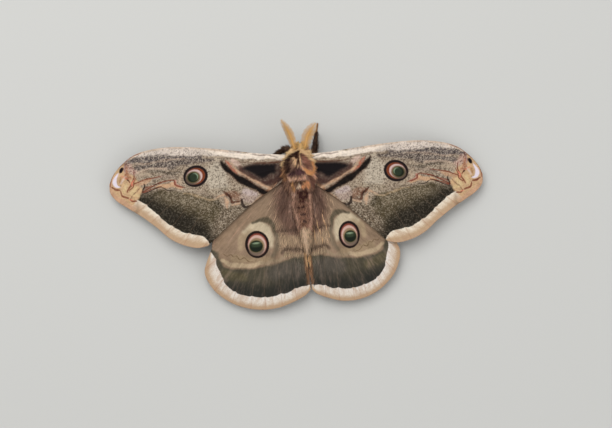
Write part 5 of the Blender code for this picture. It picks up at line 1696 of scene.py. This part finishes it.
def edge_group():
    """A mask from the distance to a painted edge, which single scales cross."""
    group, given, result = new_group("painted edge", "ShaderNodeTree", {
        "Gap": ("Float", 0.0), "Scales": ("Float", 0.5), "Jitter": ("Float", 0.2), "Soft": ("Float", 0.2),
    }, {"Mask": "Float"})
    return give_mask(group, given, result, given["Gap"], given["Jitter"])


def disc_group():
    """A mask of an oval at a middle, with its half widths and turn."""
    group, given, result = new_group("eyespot disc", "ShaderNodeTree", {
        "Place": ("Vector", None), "Middle": ("Vector", None), "Radii": ("Vector", None),
        "Turn": ("Float", 0.0), "Scales": ("Float", 0.5), "Soft": ("Float", 0.1),
    }, {"Mask": "Float"})
    away = vectors(group, "SUBTRACT", {0: given["Place"], 1: given["Middle"]})
    values = {"Vector": away, "Angle": given["Turn"]}
    turned = node(group, "ShaderNodeVectorRotate", values, rotation_type="Z_AXIS").outputs[0]
    scaled = vectors(group, "DIVIDE", {0: turned, 1: given["Radii"]})
    share = node(group, "ShaderNodeVectorMath", {0: scaled}, operation="LENGTH").outputs["Value"]
    radii = node(group, "ShaderNodeSeparateXYZ", {0: given["Radii"]}).outputs
    size = maths(group, "MINIMUM", radii[0], radii[1])
    gap = maths(group, "MULTIPLY", maths(group, "SUBTRACT", share, 1.0), size)
    return give_mask(group, given, result, gap, DISC_JITTER)


def flecks_group():
    """Single pale and dark scales strewn over a colour."""
    group, given, result = new_group("strewn scales", "ShaderNodeTree", {
        "Color": ("Color", None), "Amount": ("Float", 0.5), "Vector": ("Vector", None),
        "Pale": ("Color", None),
    }, {"Color": "Color"})
    place, amount = given["Vector"], given["Amount"]
    cells = node(group, "ShaderNodeTexVoronoi", {"Vector": place, "Scale": 2.9, "Randomness": 1.0})
    single = node(group, "ShaderNodeSeparateColor", {0: cells.outputs["Color"]}).outputs[0]
    both = maths(group, "ADD", single, stray(group, noise(group, place, 1.1, 3.0, 0.6), 1.2))
    up = maths(group, "MULTIPLY", ranged(group, both, 0.55, 0.95), maths(group, "MULTIPLY", amount, 0.72))
    down = maths(group, "MULTIPLY", ranged(group, both, 0.4, 0.1), maths(group, "MULTIPLY", amount, 0.82))
    pale = mix(group, 0.35, given["Pale"], given["Color"])
    return give_colour(group, given, result, up, down, pale, DARK_FLECK)


def streaks_group():
    """Fine hairs that lie along a flow, as paler and darker streaks in a colour."""
    group, given, result = new_group("lying hairs", "ShaderNodeTree", {
        "Color": ("Color", None), "Amount": ("Float", 0.5), "Flow": ("Vector", None),
        "Pale": ("Color", None),
    }, {"Color": "Color"})
    fine, broad = noise(group, given["Flow"], 2.6, 2.0, 0.6), noise(group, given["Flow"], 0.8)
    both = maths(group, "ADD", fine, maths(group, "MULTIPLY", broad, 0.9))
    swing = maths(group, "MULTIPLY", maths(group, "SUBTRACT", both, 0.95), given["Amount"])
    up = maths(group, "MULTIPLY", swing, 1.0, use_clamp=True)
    down = maths(group, "MULTIPLY", swing, -1.8, use_clamp=True)
    return give_colour(group, given, result, up, down, given["Pale"], DARK_STREAK)


def wing_material(kind, groups):
    """Ground colour, flecks or lying hairs, the pale border, the markings, the eyespots and the veins."""
    wing = WINGS[kind]
    material, tree, shader = new_material(f"{kind} scales")
    place, flow, solid = read(tree, "place", "Vector"), read(tree, "flow", "Vector"), in_millimetres(tree)
    scales = noise(tree, solid, 2.4, 2.0, 0.7)
    patches = noise(tree, solid, 0.9, 3.0, 0.7)
    fine = noise(tree, solid, 6.0, 3.0, 0.7)

    def edge(gap, jitter, soft):
        return use(tree, groups["edge"], {"Gap": gap, "Scales": scales, "Jitter": jitter, "Soft": soft})

    group, where, pale = wing["grain"]
    colour = use(tree, groups[group], {
        "Color": read(tree, "ground", "Color"), "Amount": read(tree, "ground", "Alpha"),
        where: {"Vector": solid, "Flow": flow}[where], "Pale": shade(pale),
    })
    line = edge(maths(tree, "SUBTRACT", read(tree, "vein", "Fac"), VEIN_LINE), jitter=0.3, soft=0.16)
    colour = mix(tree, maths(tree, "MULTIPLY", line, 0.2), colour, shade(VEIN_COLOUR))

    rim = border_colour(tree, wing, flow, scales, patches, line)
    outwards = node(tree, "ShaderNodeSeparateXYZ", {0: place}).outputs[0]
    whole = ranged(tree, outwards, *BORDER_END)
    shown = maths(tree, "MULTIPLY", edge(read(tree, "border", "Fac"), jitter=0.35, soft=0.16), whole)
    colour = mix(tree, shown, colour, rim)

    for mark in wing["marks"]:
        least = mark.strength * (1 - mark.uneven)
        kept = ranged(tree, patches, 0.4, 0.56, least, mark.strength)
        shown = maths(tree, "MULTIPLY", edge(read(tree, mark.name, "Fac"), mark.jitter, mark.soft), kept)
        colour = mix(tree, shown, colour, shade(mark.colour))
    for spot in wing["spots"]:
        for disc in spot["discs"]:
            x, y = (middle + shift for middle, shift in zip(spot["middle"], disc.shift))
            shown = use(tree, groups["disc"], {
                "Place": place, "Middle": (x, y, 0.0), "Radii": (*disc.radii, 1.0),
                "Turn": math.radians(spot["turn"]), "Scales": scales, "Soft": disc.soft,
            })
            colour = mix(tree, shown, colour, shade(disc.colour))
    fill_in(tree, shader, {
        "Base Color": multiplied(tree, colour, ranged(tree, fine, 0.25, 0.75, 0.69, 1.02)),
        "Normal": bumped(tree, fine, 0.5, 0.00005), "Roughness": 0.8, "Specular IOR Level": 0.1,
    })
    return material


def border_colour(tree, wing, flow, scales, patches, line):
    """The pale border's colour: from within to the margin, streaked, dull in patches, brown on the veins."""
    across = maths(tree, "ADD", read(tree, "border_share", "Fac"), stray(tree, scales, 0.35))
    ramp = node(tree, "ShaderNodeValToRGB", {0: across})
    stops = wing["border_colours"]
    elements = ramp.color_ramp.elements
    while len(elements) < len(stops):
        elements.new(0.5)
    for element, (position, colour) in zip(elements, stops):
        element.position = position
        element.color = shade(colour)
    streak = ranged(tree, noise(tree, flow, 1.6, 3.0, 0.6), 0.38, 0.58, 0.5, 0.0)
    rim = mix(tree, streak, ramp.outputs["Color"], shade(BORDER_STREAK_COLOUR))
    rim = mix(tree, ranged(tree, patches, 0.5, 0.64, 0.0, 0.3), rim, shade(BORDER_DULL_COLOUR))
    return mix(tree, maths(tree, "MULTIPLY", line, 0.7), rim, shade(BORDER_VEIN_COLOUR))


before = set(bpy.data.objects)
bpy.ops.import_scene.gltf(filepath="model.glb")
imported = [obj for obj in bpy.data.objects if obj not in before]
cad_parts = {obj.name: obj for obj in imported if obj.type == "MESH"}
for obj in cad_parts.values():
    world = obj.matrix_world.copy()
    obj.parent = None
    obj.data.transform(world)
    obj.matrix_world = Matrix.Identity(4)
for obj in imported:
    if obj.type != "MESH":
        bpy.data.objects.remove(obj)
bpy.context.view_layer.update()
main()
